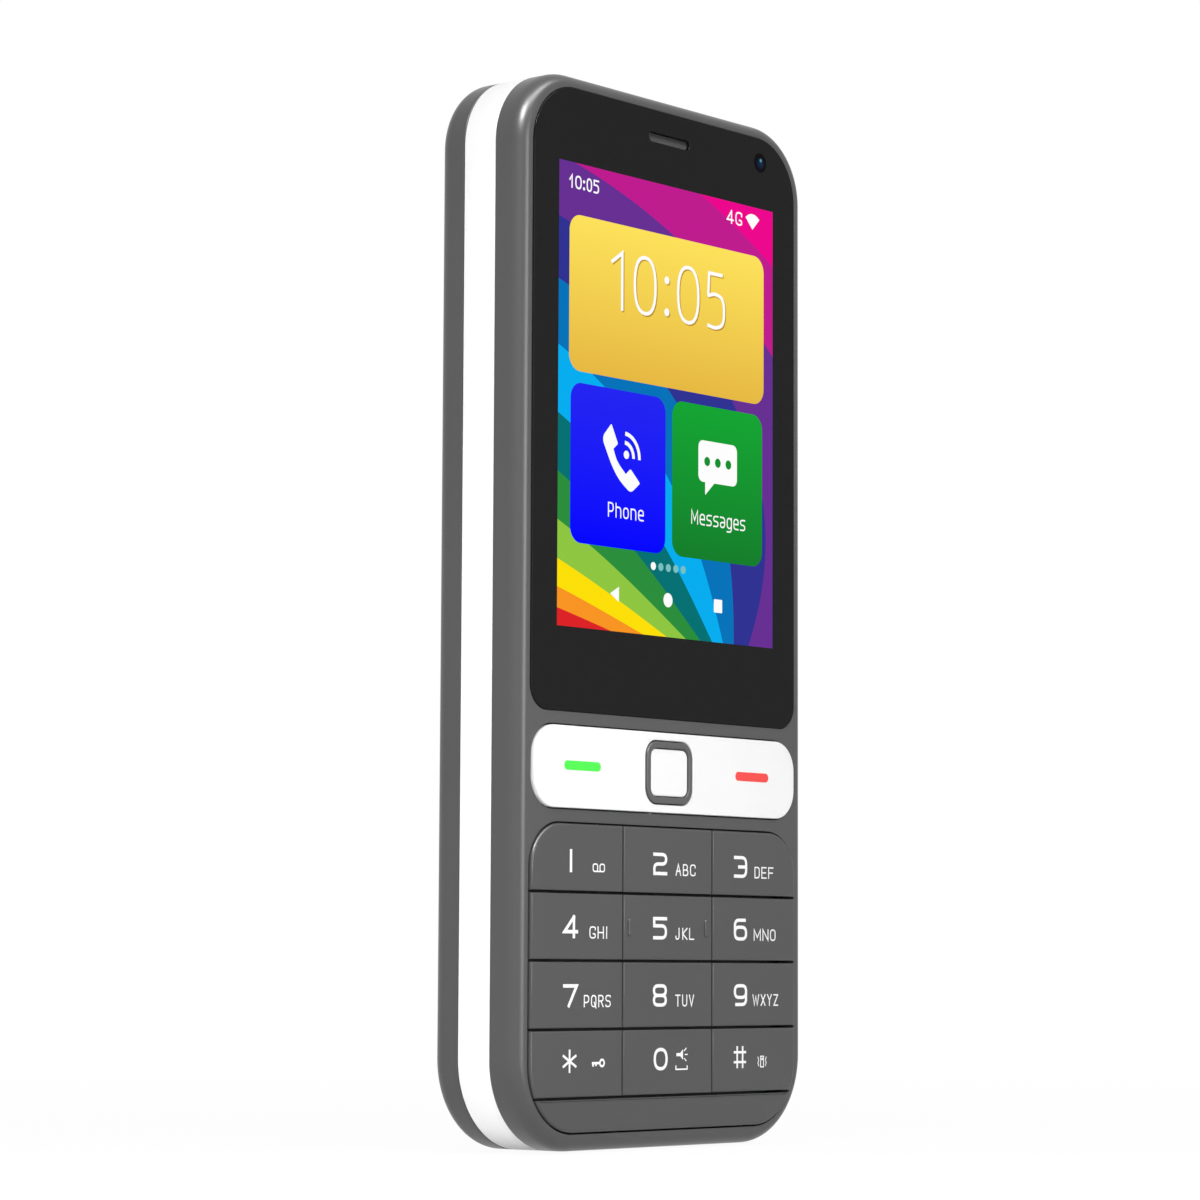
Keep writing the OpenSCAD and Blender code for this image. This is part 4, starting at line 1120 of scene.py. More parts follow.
@dataclass
class MiddleFrame(Assembly):
    """White band round the sides, open at its sockets, and the plate with the battery bay."""

    front: float = 4.05
    rear: float = 9.08
    wall: float = 1.3
    edge_r: float = 0.1
    plate_front: float = 6.23
    plate_rear: float = 7.23
    bay_wall: float = 1.0
    bay_h: float = 2.0
    card_gap: float = 0.5
    jack_r: float = 2.0
    usb_r: float = 0.5
    mic_r: float = 0.5
    torch_r: float = 1.8
    fit: float = 0.2

    def holes(self, top: bool) -> list[Points]:
        """Openings in one end of the band, as rows of X and depth.

        Args:
            top: the upper end with the headphone bore, or else the lower end.

        Returns:
            The outlines of the openings.
        """
        jack, usb, mic = (cad_box(node) - [0, RIM_Y, 0]
                          for node in ("headphone_jack", "usb_socket", "microphone"))
        if top:
            return [Panel.disc(*jack.mean(0)[:2], self.jack_r, arc=12).ring()]
        w, d, _ = np.ptp(usb, axis=0) + 2 * self.fit
        return [Panel.about(0, usb[:, 1].mean(), w, d, self.usb_r).ring(),
                Panel.disc(*mic.mean(0)[:2], self.mic_r, arc=8).ring()]

    def band(self, skin: Skin) -> None:
        """Sweeps the band's section round both sides and fills its two ends round their openings.

        Args:
            skin: mesh that takes the band.
        """
        near = rounded(self.edge_r, self.front, 4)[::-1]
        far = rounded(self.edge_r, self.rear, 4, rear=True)
        start = [[self.wall, self.front]]
        rows = np.concatenate([start, near, far, [[self.wall, self.rear]], start])
        loop = BODY.sweep(rows)
        count = BODY.arc + 1
        for side in (loop[:, :2 * count], loop[:, 2 * count:]):
            skin.grid(side, round_columns=False)
        first, last = len(near), len(near) + 1
        for top in (True, False):
            ends = loop[:, [2 * count - 1, 2 * count] if top else [4 * count - 1, 0]]
            skin.grid(ends[:first + 1], round_columns=False)
            skin.grid(ends[last:-1], round_columns=False)
            outer, inner = (np.concatenate([part[:, 0], part[::-1, 1]])
                            for part in (ends[first:last + 1], ends[-2:]))
            bores = []
            for hole in self.holes(top):
                x, y = hole.T
                levels = [np.full(len(hole), end[0, 2]) for end in (outer, inner)]
                bores.append(np.stack([np.stack([x, RIM_Y + y, z], -1) for z in levels]))
                skin.grid(bores[-1])
            skin.face(outer, *[bore[0] for bore in bores])
            skin.face(inner, *[bore[1] for bore in bores])

    def plate(self, skin: Skin) -> None:
        """Adds the plate with its openings, and the wall of the battery bay.

        Args:
            skin: mesh that takes the plate.
        """
        def opening(box: Points, gap: float) -> Panel:
            """Opening round a part with a gap."""
            (x, _, z), (w, _, h) = box.mean(0), np.ptp(box, axis=0) + 2 * gap
            return Panel.about(x, z, w, h, gap)

        torch, jack, usb = cad_box("torch_lens"), cad_box("headphone_jack"), cad_box("usb_socket")
        sim, card = cad_box("sim_sockets"), cad_box("memory_card_socket")
        contacts, battery = cad_box("battery_contacts"), cad_box("battery")
        cards = np.array([[sim[0][0], 0, card[0][2]], [sim[1][0], 0, sim[1][2]]])
        holes = (
            opening(cad_box("rear_camera"), self.fit),
            Panel.disc(torch[:, 0].mean(), torch[:, 2].mean(), self.torch_r),
            opening(cards, self.card_gap),
            opening(contacts, self.fit),
        )
        edge = BODY.grow(-self.wall)
        ring, half = edge.ring(), 2 * (edge.arc + 1)
        (j0, j1), (u0, u1) = (box[:, 0] + [-self.fit, self.fit] for box in (jack, usb))
        j_low, u_high = jack[0][2] - self.fit, usb[1][2] + self.fit
        top = [[j1, edge.high], [j1, j_low], [j0, j_low], [j0, edge.high]]
        low = [[u0, edge.low], [u0, u_high], [u1, u_high], [u1, edge.low]]
        loops = [np.concatenate([ring[:half], top, ring[half:], low]),
                 *[hole.ring() for hole in holes]]
        depths = (self.plate_rear, self.plate_front)
        skin.between(*[np.stack([laid(loop, depth) for depth in depths]) for loop in loops])
        bay = opening(battery, self.fit).grow(self.bay_wall / 2)
        x, gap = bay.w / 2, np.ptp(contacts[:, 0]) / 2 + self.fit
        path = np.array([[gap, bay.low], [x, bay.low], [x, bay.high],
                         [-x, bay.high], [-x, bay.low], [-gap, bay.low]])
        Flat(self.plate_rear, self.plate_rear + self.bay_h, skin).stroke(
            rounded_path(path, self.bay_wall, closed=False), self.bay_wall)

    def build(self) -> None:
        """Makes the frame as one piece."""
        skin = Skin()
        self.band(skin)
        self.plate(skin)
        self.add(skin.mesh("middle_frame"), Plastics.WHITE, "chassis", "white_plastic", "mid_frame")


@dataclass
class RearCover(Assembly):
    """Battery cover: rounded shell with sound slots, camera seat, ribs, tongue and nail notch."""

    wall: float = 1.3
    edge_r: float = 2.2
    seam_r: float = 0.1
    lip_r: float = 0.12
    front: float = 9.18
    inner: float = 12.43
    rear: float = 13.63
    notch_w: float = 10.0
    notch_d: float = 0.8
    slots: int = 5
    slot_pitch: float = 2.0
    slot_w: float = 1.0
    slot_h: float = 8.0
    torch_r: float = 1.8
    seat_r: float = 4.4
    seat_d: float = 0.9
    eye_r: float = 3.2
    tongue_gap: float = 0.15
    tongue_wall: float = 0.8
    tongue_front: float = 1.2
    tongue_rear: float = 1.5
    ribs: tuple[float, ...] = (12, 22, 32)
    rib_w: float = 0.8
    rib_h: float = 1.2
    rib_end: float = 1.0

    BEZEL: ClassVar[Sequence] = (
        (3.8, 12.73), (3.8, 13.35), (3.86, 13.5), (4.0, 13.6), (4.15, 13.63), (4.28, 13.6),
        (4.34, 13.5), (4.35, 13.4), (4.35, 12.73), (3.8, 12.73),
    )
    WINDOW: ClassVar[Sequence] = (
        (0, 12.73), (3.75, 12.73), (3.75, 13.36), (3.68, 13.43), (0, 13.43),
    )
    TORCH: ClassVar[Sequence] = (
        (0, 5.45), (1.6, 5.45), (1.6, 13.35),
        *(row for r in np.linspace(1.5, 0.1, 8) for row in ((r, 13.43), (r - 0.1, 13.37))),
        (0, 13.37),
    )
    GLOW_R: ClassVar[float] = 3.0

    def shell(self) -> Points:
        """Carries the section round the body; at the nail notch its edge steps in by half the wall.

        Returns:
            Rows of the section by points of the outline by X, Y and Z.
        """
        rows = np.concatenate([
            [[self.wall, self.inner], [self.wall, self.front]],
            rounded(self.seam_r, self.front, 4)[::-1],
            [[0, self.front + self.notch_d]],
            rounded(self.edge_r, self.rear, 18, rear=True),
        ])
        half = self.notch_w / 2
        x = np.array([-half - SUPPORT, -half, half, half + SUPPORT])
        ring = np.concatenate([BODY.ring(), np.stack([x, np.full(4, BODY.low)], -1)])
        out = np.concatenate([BODY.normals(), np.tile([0.0, -1.0], (4, 1))])
        inset, depth = (np.tile(rows[:, [axis]], len(ring)) for axis in (0, 1))
        inset[2:8, -3:-1] = self.wall / 2
        depth[7, -3:-1] = self.front + self.notch_d
        return laid(ring - inset[..., None] * out, depth)

    def build(self) -> None:
        """Sweeps the shell, cuts its openings and adds tongue, ribs and rear fittings."""
        torch_x, _, z = cad_box("torch_lens").mean(0)
        skin = Skin()
        outer = self.shell()
        mouth = rounded(self.lip_r, self.rear, 5, rear=True, hole=True)[::-1]
        through = np.concatenate([mouth, [[0, self.inner]]])
        offsets = (np.arange(self.slots) - (self.slots - 1) / 2) * self.slot_pitch
        places = cad_box("speaker_mesh")[:, 0].mean() + offsets
        panels = [Panel.about(x, z, self.slot_w, self.slot_h, self.slot_w / 2) for x in places]
        panels.append(Panel.disc(torch_x, z, self.torch_r))
        openings = [panel.sweep(through) for panel in panels]
        floor = [[0, self.rear - self.seat_d]]
        seat = Panel.disc(0, z, self.seat_r, arc=14).sweep(np.concatenate([mouth, floor]))
        eye = Panel.disc(0, z, self.eye_r, arc=14).sweep([*floor, [0, self.inner]])
        for wall in (outer, *openings, seat, eye):
            skin.grid(wall)
        skin.face(outer[-1], seat[0], *[wall[0] for wall in openings])
        skin.face(seat[-1], eye[0])
        skin.face(outer[0], eye[-1], *[wall[-1] for wall in openings])
        tongue = BODY.grow(-self.wall - self.tongue_gap)
        Slab(tongue, self.front - self.tongue_front, self.front + self.tongue_rear, front_r=0.1,
             rear_r=0.02, holes=(tongue.grow(-self.tongue_wall),), hole_r=0.02).lay(skin)
        w = BODY.w - 2 * (self.wall + self.rib_end)
        for rib in self.ribs:
            panel = Panel.about(0, rib, w, self.rib_w, r=0.02, arc=2)
            Slab(panel, self.inner - self.rib_h, self.inner, front_r=0.1, rear_r=0.01).lay(skin)
        self.add(skin.mesh("rear_cover"), Plastics.SHELL, "battery_cover", "dark_plastic",
                 "battery_cover")
        trim = Metal("trim_metal", (0.62, 0.62, 0.64), rough=0.22)
        self.add(Skin().turned(0, z, self.BEZEL).mesh("camera_trim"), trim,
                 "battery_cover", "bright_metal", "camera_bezel")
        self.add(Skin().turned(0, z, self.WINDOW).mesh("camera_glass"),
                 Lens("lens_rear", x=0, z=float(z), r=self.GLOW_R),
                 "battery_cover", "clear_plastic", "camera_window")
        self.add(Skin().turned(torch_x, z, self.TORCH).mesh("torch_window"), Clear("torch_clear"),
                 "chassis", "clear_plastic", "torch_lens")


@dataclass
class CoverGlass(Assembly):
    """Black cover glass with the speaker slot, its grille and the front camera's lens."""

    edge_r: float = 0.12
    rear_r: float = 0.1
    slot_w: float = 8.2
    slot_h: float = 1.25
    slot_drop: float = 3.5
    grille_gap: float = 0.1
    grille_d: float = 0.4
    camera_x: float = 18.9
    camera_drop: float = 3.25
    camera_r: float = 1.27

    DOME: ClassVar[Sequence] = (
        (0, 0.02), (1, 0.02), (1, -0.012), (0.8, -0.012), (0.74, -0.008), (0.5, -0.05),
        (0.25, -0.068), (0, -0.075),
    )

    def build(self) -> None:
        """Makes the glass with its slot, the grille behind it and the lens."""
        front, rear = front_of("glass_panel"), rear_of("glass_panel")
        slot = Panel.about(0, GLASS.high - self.slot_drop, self.slot_w, self.slot_h,
                           self.slot_h / 2, arc=10)
        glass = Slab(GLASS, front, rear, self.edge_r, self.rear_r, (slot,), self.rear_r)
        self.add(glass.lay().mesh("cover_glass"), BlackGlass("black_glass"), "chassis",
                 "cover_glass", "glass_panel")
        grille = Slab(slot.grow(-self.grille_gap), front + self.grille_d, rear + self.grille_gap,
                      front_r=0.02, rear_r=0.02)
        self.add(grille.lay().mesh("speaker_grille"), Woven("grille_cloth", grey(0.002), pitch=0.3),
                 "chassis", "mesh", "earpiece_mesh")
        x, z, r = self.camera_x, float(GLASS.high - self.camera_drop), self.camera_r
        dome = np.array(self.DOME) * [r, 1] + [0, front]
        lens = Skin().turned(x, z, dome, steps=48)
        self.add(lens.mesh("front_lens"), Lens("lens_front", x, z, r), "chassis", "cover_glass")


class Layer(Enum):
    """Heights of the picture's flat areas over its ground, in millimetres."""

    CARD = 0.010
    SIGN = 0.018


@dataclass
class LitPicture(Assembly):
    """The display's picture: a rainbow ground, three cards, signs and buttons."""

    low: float = 63.65
    w: float = 43.2
    h: float = 57.6
    corner_r: float = 0.02
    proud: float = 0.006
    sunk: float = 0.004
    ground_sunk: float = 0.01
    clock_z: float = 40.3
    buttons_z: float = 4.67

    HUES: ClassVar[Sequence] = (
        (220, 33, 38), (248, 148, 33), (252, 223, 3), (142, 198, 64), (42, 142, 59), (0, 112, 114),
        (1, 173, 239), (1, 114, 185), (46, 49, 146), (102, 46, 146), (190, 25, 142), (236, 0, 140),
    )
    CARDS: ClassVar[Sequence] = (
        ("clock_card", (-19.6, 19.65), (31.67, 51.17), 2.1, (230, 184, 65), (253, 225, 90)),
        ("call_tile", (-19.25, -0.67), (10.4, 30.25), 2.0, (0, 0, 255), (34, 35, 240)),
        ("message_tile", (0.67, 19.33), (10.4, 30.25), 2.0, (17, 125, 42), (17, 165, 50)),
    )
    CLOCK: ClassVar[Lettering] = Lettering(7.6, 0.46, bend=0.5)
    ONE: ClassVar[Sequence] = ((-11.5, 5.9), (-9.4, 7.3), (-9.4, 0))
    FIVE: ClassVar[Sequence] = (
        (10.95, 7.3, 0), (8.15, 7.3, 0), (7.95, 4.3, 0.3), (9.4, 4.8, 1.4), (11.25, 4.2, 1.4),
        (11.25, 0.9, 1.4), (9.5, 0.2, 1.4), (7.8, 0.5, 0),
    )
    HANDSET: ClassVar[Sequence] = (
        (-11.4, 25.85, 0.2), (-10.1, 23.45, 0.25), (-11.0, 22.75, 0.1), (-10.3, 21.2, 2.0),
        (-8.55, 19.8, 0.1), (-7.65, 20.55, 0.25), (-5.75, 18.9, 0.25), (-7.6, 17.5, 0.7),
        (-10.65, 19.45, 3.5), (-13.25, 23.95, 0.9),
    )
    WAVES: ClassVar[Sequence] = (-8.85, 21.95)
    TAIL: ClassVar[Sequence] = ((7.4, 20.5), (7.4, 18.75), (9.4, 20.5))
    SIGNAL: ClassVar[Sequence] = (17.25, 54.6)
    WORDS: ClassVar[Sequence] = (
        ("Phone", -12.0, -5.0, 14.18, Lettering(1.85, 0.19, bend=0.28)),
        ("Messages", 4.55, 15.75, 14.8, Lettering(1.9, 0.19, bend=0.28, gap=0.32)),
        ("10", -19.7, -17.35, 54.35, Lettering(1.7, 0.22, bend=0.4)),
        ("05", -16.4, -14.0, 54.35, Lettering(1.7, 0.22, bend=0.4, gap=0.3)),
        ("4G", 11.8, 15.05, 54.7, Lettering(1.8, 0.22, bend=0.4, gap=0.4)),
    )
    DISCS: ClassVar[Sequence] = (
        (-16.9, 54.57, 0.2), (-16.9, 55.45, 0.2), (-8.45, 22.25, 0.52), (-3.05, 8.75, 0.5),
    )
    PAGES: ClassVar[Sequence] = (-1.55, -0.05, 1.45, 2.95)

    def sheet(self, layer: Layer) -> Flat:
        """Flat forms of a layer on the glass."""
        front = front_of("glass_panel")
        return Flat(front - self.proud - layer.value, front + self.sunk)

    def show(self, flat: Flat, name: str, finish: Finish) -> None:
        """Adds a lit area to the chassis."""
        self.add(flat.skin.mesh(name), finish, "chassis", "display")

    def placed(self, points: Sequence) -> Points:
        """Points given over the lower edge of the picture, as rows of X and Z."""
        return np.array(points) + [0, self.low]

    def ground(self) -> None:
        """Lays the rainbow ground, a thin plate on the glass."""
        front = front_of("glass_panel")
        flat = Flat(front - self.proud, front + self.ground_sunk)
        middle = self.low + self.h / 2
        flat.plate(Panel.about(0, middle, self.w, self.h, self.corner_r, arc=2).ring())
        hues = tuple(srgb(*hue) for hue in self.HUES)
        self.show(flat, "picture_ground", RainbowPicture("rainbow_ground", hues))

    def cards(self) -> None:
        """Lays the clock card and both tiles."""
        for name, (x0, x1), heights, r, low_colour, high_colour in self.CARDS:
            z0, z1 = (self.low + z for z in heights)
            flat = self.sheet(Layer.CARD)
            flat.plate(Panel((x0 + x1) / 2, z0, z1, x1 - x0, r, r, 10).ring())
            self.show(flat, name, Lit(name, srgb(*low_colour), srgb(*high_colour), z0, z1))

    def clock(self, flat: Flat, x: float = 0, rise: float = 0) -> None:
        """Adds the large thin clock figures and their two dots.

        Args:
            flat: takes the figures.
            x: moves them to the right.
            rise: moves them up.
        """
        at = np.array([x, self.low + self.clock_z + rise])
        flat.stroke(np.array(self.ONE) + at, self.CLOCK.width)
        for left in (-7.15, 1.55):
            self.CLOCK.write(flat, "0", left + x, at[1], 4.6)
        five = np.array(self.FIVE)
        flat.stroke(rounded_path(five[:, :2] + at, five[:, 2], closed=False), self.CLOCK.width)
        for z in (1.0, 5.1):
            flat.disc(x - 0.5, at[1] + z, 0.5)

    def signs(self) -> None:
        """Adds clock, handset, bubble, words, status signs and buttons."""
        white, shadow, dots, pale = (self.sheet(Layer.SIGN).lifted(n) for n in (0, -2, 3, 0))
        self.clock(white)
        self.clock(shadow, 0.2, -0.16)
        handset = np.array(self.HANDSET)
        white.plate(rounded_path(self.placed(handset[:, :2]), handset[:, 2], closed=True))
        for reach in (1.8, 2.95):
            white.stroke(self.placed(self.WAVES) + fan(np.linspace(87, -2, 24), reach), 0.5)
        white.plate(self.placed(Panel(10, 20.4, 25.75, 8, 0.9, 0.9).ring()))
        white.lifted(1).plate(self.placed(self.TAIL))
        for x in (7.8, 10, 12.2):
            dots.disc(x, self.low + 23.1, 0.6)
        for text, left, right, base, hand in self.WORDS:
            hand.line(white, text, left, right, self.low + base)
        for x, z, r in self.DISCS:
            white.disc(x, self.low + z, r)
        for x in self.PAGES:
            pale.disc(x, self.low + 8.75, 0.5)
        arc = np.concatenate([fan(np.linspace(45, 135, 13), 2.05), [[0, 0]]])
        white.plate(self.placed(self.SIGNAL) + arc)
        z = self.low + self.buttons_z
        white.plate(np.array([[-9.8, z - 0.95], [-9.8, z + 0.95], [-11.5, z]]))
        white.disc(-0.1, z, 0.9, arc=12)
        white.plate(Panel.about(10.1, z, 1.7, 1.7, r=0.1, arc=2).ring())
        top = self.low + self.h
        self.show(white, "picture_signs", Lit("sign_white", grey(0.97), grey(1), self.low, top))
        self.show(shadow, "clock_shade", Lit("clock_shade", srgb(186, 142, 44), srgb(196, 154, 52),
                                             self.low + 40, self.low + 48))
        self.show(dots, "bubble_dots",
                  Lit("dot_green", srgb(17, 140, 46), srgb(17, 150, 48), self.low, top))
        self.show(pale, "page_dots",
                  Lit("page_pale", srgb(120, 190, 190), srgb(130, 200, 200), self.low, top))

    def build(self) -> None:
        """Lays the ground, the cards and the signs."""
        self.ground()
        self.cards()
        self.signs()


@dataclass
class CallBar(Assembly):
    """White rocking bar with a green and a red mark."""

    edge_r: float = 0.15
    rear_r: float = 0.1
    fit: float = 0.16
    sunk: float = 0.2
    mark_x: float = 16.9
    mark_z: float = 46.7
    mark_w: float = 6.9
    mark_h: float = 1.15
    mark_proud: float = 0.05

    def build(self) -> None:
        """Makes the bar with its opening for the ring, and its two marks."""
        front, rear = front_of("call_bar") + self.sunk, rear_of("call_bar")
        bar = Slab(BAR, front, rear, self.edge_r, self.rear_r, (RING.grow(self.fit),), self.edge_r)
        self.add(bar.lay().mesh("rocker_bar"), Plastics.BAR, "call_bar", "white_plastic",
                 "call_bar")
        marks = (("green_mark", -1, Plastics.GREEN), ("red_mark", 1, Plastics.RED))
        for name, side, finish in marks:
            outline = Panel.about(side * self.mark_x, self.mark_z, self.mark_w, self.mark_h,
                                  self.mark_h / 2)
            mark = Slab(outline, front - self.mark_proud, front + self.mark_proud,
                        front_r=0.04, rear_r=0.01)
            self.add(mark.lay().mesh(name), finish, "call_bar", "key_plastic")


@dataclass
class Navigation(Assembly):
    """Rocking ring and the select key inside it."""

    edge_r: float = 0.2
    hole_r: float = 0.15
    rear_r: float = 0.05
    band: float = 0.8
    gap: float = 0.12
    sunk: float = 0.2
    ring_sunk: float = 0.38
    cap_h: float = 2.0
    stem_w: float = 3.2
    stem_h: float = 1.8

    def build(self) -> None:
        """Makes ring and key with rounded edges."""
        ring = Slab(RING, front_of("nav_ring") + self.ring_sunk, rear_of("nav_ring"), self.edge_r,
                    self.rear_r, (RING.grow(-self.band),), self.hole_r)
        self.add(ring.lay().mesh("rocker_ring"), Plastics.RING, "nav_ring", "dark_plastic",
                 "nav_ring")
        cap = RING.grow(-self.band - self.gap)
        front = front_of("select_key") + self.sunk
        key = Slab(cap, front, front + self.cap_h, self.edge_r, self.rear_r).lay()
        stem = Panel.about(0, NAV_Z, self.stem_w, self.stem_h, r=0.1, arc=3)
        Slab(stem, front + self.cap_h, rear_of("select_key"), 0.02, self.rear_r).lay(key)
        self.add(key.mesh("middle_key"), Plastics.BAR, "select_key", "white_plastic", "select_key")


@dataclass
class Keypad(Assembly):
    """Twelve keys and the plate below them, with their printed signs."""

    lines: tuple[float, ...] = (-8.865, 8.865)
    pitch: float = 8.3
    row_gap: float = 0.3
    column_gap: float = 0.2
    proud: float = 0.52
    edge_r: float = 0.3
    chamfer: float = 0.2
    lip: float = 0.5
    lip_front: float = 2.08
    rear: float = 2.58
    plate_rear: float = 0.93
    print_h: float = 0.02
    print_d: float = 0.01
    lefts: tuple[float, ...] = (-20.25, -3.05, 13.3)
    bases: tuple[float, ...] = (33.72, 25.73, 17.4, 9.53)
    mark_x: float = 7.6
    mark_w: float = 0.7
    mark_h: float = 2.2
    mark_r: float = 0.3
    mark_proud: float = 0.16
    mark_sunk: float = 0.05
    on_line: float = 1e-3

    NAMES: ClassVar[Sequence] = ("1", "2", "3", "4", "5", "6", "7", "8", "9", "star", "0", "hash")
    SMALL: ClassVar[Lettering] = Lettering(1.5, 0.17, bend=0.3)
    FIGURE: ClassVar[Lettering] = Lettering(2.8, 0.42, bend=0.3)
    SIGNS: ClassVar[dict[str, tuple]] = {
        "1": ("|", 1.1, 0.5, FIGURE), "0": ("0", 0.2, 2.75, Lettering(2.8, 0.42, bend=0.5)),
        "star": ("*", 0, 2.55, Lettering(2.8, 0.3, bend=0.3)),
        "hash": ("#", 0, 2.55, Lettering(2.8, 0.3, bend=0.3)),
    }
    LETTERS: ClassVar[dict[str, tuple]] = {
        "2": ("ABC", 4.45, 4.0), "3": ("DEF", 4.3, 4.0), "4": ("GHI", 4.9, 3.45),
        "5": ("JKL", 4.45, 3.75), "6": ("MNO", 4.15, 4.6), "7": ("PQRS", 3.9, 5.1),
        "8": ("TUV", 4.45, 3.75), "9": ("WXYZ", 3.9, 5.4),
    }

    def cell(self, x0: float, x1: float, z0: float, z1: float, rear: float, lip: float) -> Skin:
        """Makes a key as the part of the keypad's outline inside a cell.

        The section runs from the flange under the rim over a round on the outer edges, or a chamfer
        on the edges between keys, to the flat top.

        Args:
            x0: left line.
            x1: right line.
            z0: lower line.
            z1: upper line.
            rear: depth of the rear.
            lip: reach of the flange under the rim.

        Returns:
            The key's skin.
        """
        outline = KEYPAD.ring()
        lines = [((-1, 0), -x0), ((1, 0), x1), ((0, -1), -z0), ((0, 1), z1)]
        for normal, reach in lines:
            outline = cut(outline, normal, reach)
        on = np.array([np.abs(outline @ np.array(n) - d) < self.on_line for n, d in lines])
        inner = (on & np.roll(on, -1, 1)).any(0)
        top, slope = quarter(self.edge_r, 9), quarter(self.chamfer, 9)[::-1]
        bevel = np.interp(top[:, 1], slope[:, 1], slope[:, 0], right=0)
        flange = min(self.lip_front, rear)
        rows = np.concatenate([
            [[lip, 0, rear], [lip, 0, flange], [0, 0, flange]] if lip else [[0, 0, rear]],
            np.stack([-top[:, 0], bevel, top[:, 1] - self.proud], -1),
            [[-self.edge_r - SUPPORT, self.chamfer + SUPPORT, -self.proud]],
        ])
        distance = np.where(inner[None], rows[:, 1:2], -rows[:, :1])
        skin = Skin()
        skin.between(laid(moved_in(outline, distance), rows[:, 2:3]))
        return skin

    def icon(self, flat: Flat, name: str, left: float, base: float) -> None:
        """Draws a key's small picture: tape, lock key, lamp over a space bar, or shaking phone.

        Args:
            flat: takes the strokes.
            name: name of the key.
            left: left edge of the key's sign.
            base: lower edge of the sign.
        """
        if name == "1":
            at = np.array([left + 5.55, base + 0.2])
            for x in (0, 1.3):
                reel = np.array([[x, 0], [x + 0.85, 0], [x + 0.85, 0.9], [x, 0.9]]) + at
                flat.stroke(rounded_path(reel, 0.3, closed=True), 0.17, closed=True)
            flat.lifted(1).stroke(np.array([[0.4, 0], [1.75, 0]]) + at, 0.17)
        elif name == "star":
            at = np.array([left + 5.5, base + 1.1])
            flat.stroke(Panel.disc(1.9, 0, 0.4).ring() + at, 0.26, closed=True)
            flat.lifted(1).stroke(np.array([[1.55, 0], [0, 0]]) + at, 0.3)
            for x, drop in ((0.2, 0.42), (0.75, 0.36)):
                flat.lifted(2).stroke(np.array([[x, 0], [x, -drop]]) + at, 0.28)
        elif name == "0":
            at = np.array([left + 4.6, base])
            flat.stroke(np.array([[0, 0.55], [0, 0.08], [2.25, 0.08], [2.25, 0.55]]) + at, 0.18)
            flat.plate(np.array([[0.1, 1.7], [0.85, 1.7], [1.4, 1.25],
                                 [1.4, 2.55], [0.85, 2.1], [0.1, 2.1]]) + at)
            for way in fan(np.array([-38, 0, 38]), 1):
                flat.stroke(at + [1.05, 1.9] + np.outer([0.75, 1.3], way), 0.14)
        else:
            at = np.array([left + 5.6, base + 0.1])
            case = np.array([[0, 0], [0.62, 0], [0.62, 1.35], [0, 1.35]])
            flat.stroke(case + at, 0.15, closed=True)
            flat.plate(Panel.about(0.31, 1.0, 0.3, 0.3, r=0.05, arc=2).ring() + at)
            wave = np.array([[0.1, 0.1], [-0.08, 0.5], [0.08, 0.9], [-0.1, 1.3]])
            for side, way in ((-0.48, 1), (1.1, -1)):
                flat.stroke(wave * [way, 1] + at + [side, 0], 0.12)

    def legend(self, name: str, left: float, base: float) -> Skin:
        """Writes the sign of a key and the smaller signs beside it.

        Args:
            name: name of the key.
            left: left edge of the sign.
            base: its lower edge.

        Returns:
            The prints of the key.
        """
        flat = Flat(-self.proud - self.print_h, -self.proud + self.print_d)
        sign, offset, w, hand = self.SIGNS.get(name, (name, 0, 2.75, self.FIGURE))
        hand.write(flat, sign, left + offset, base, w)
        if name in self.LETTERS:
            text, offset, room = self.LETTERS[name]
            self.SMALL.line(flat, text, left + offset, left + offset + room, base)
        else:
            self.icon(flat, name, left, base)
        return flat.skin

    def build(self) -> None:
        """Makes the keys row by row, their prints, the marks of the middle key and the plate."""
        far = 2 * BODY.w
        for number, name in enumerate(self.NAMES):
            row, column = divmod(number, 3)
            x0 = -far if column == 0 else self.lines[column - 1] + self.column_gap / 2
            x1 = far if column == 2 else self.lines[column] - self.column_gap / 2
            z1 = far if row == 0 else KEYPAD.high - row * self.pitch - self.row_gap / 2
            z0 = KEYPAD.high - (row + 1) * self.pitch + self.row_gap / 2
            body = f"key_{name}"
            key = self.cell(x0, x1, z0, z1, self.rear, self.lip)
            if name == "5":
                middle = KEYPAD.high - (row + 0.5) * self.pitch
                for x in (-self.mark_x, self.mark_x):
                    Slab(Panel.about(x, middle, self.mark_w, self.mark_h, self.mark_r),
                         -self.proud - self.mark_proud, -self.proud + self.mark_sunk,
                         front_r=0.15, rear_r=0.01).lay(key)
            self.add(key.mesh(f"cap_{name}"), Plastics.KEY, body, "key_plastic", body)
            prints = self.legend(name, self.lefts[column], self.bases[row])
            self.add(prints.mesh(f"print_{name}"), Plastics.LEGEND, body, "white_plastic")
        high = KEYPAD.high - len(self.bases) * self.pitch - self.row_gap / 2
        plate = self.cell(-far, far, -far, high, self.plate_rear, 0)
        self.add(plate.mesh("lower_plate"), Plastics.KEY, "chassis", "key_plastic", "chin_plate")


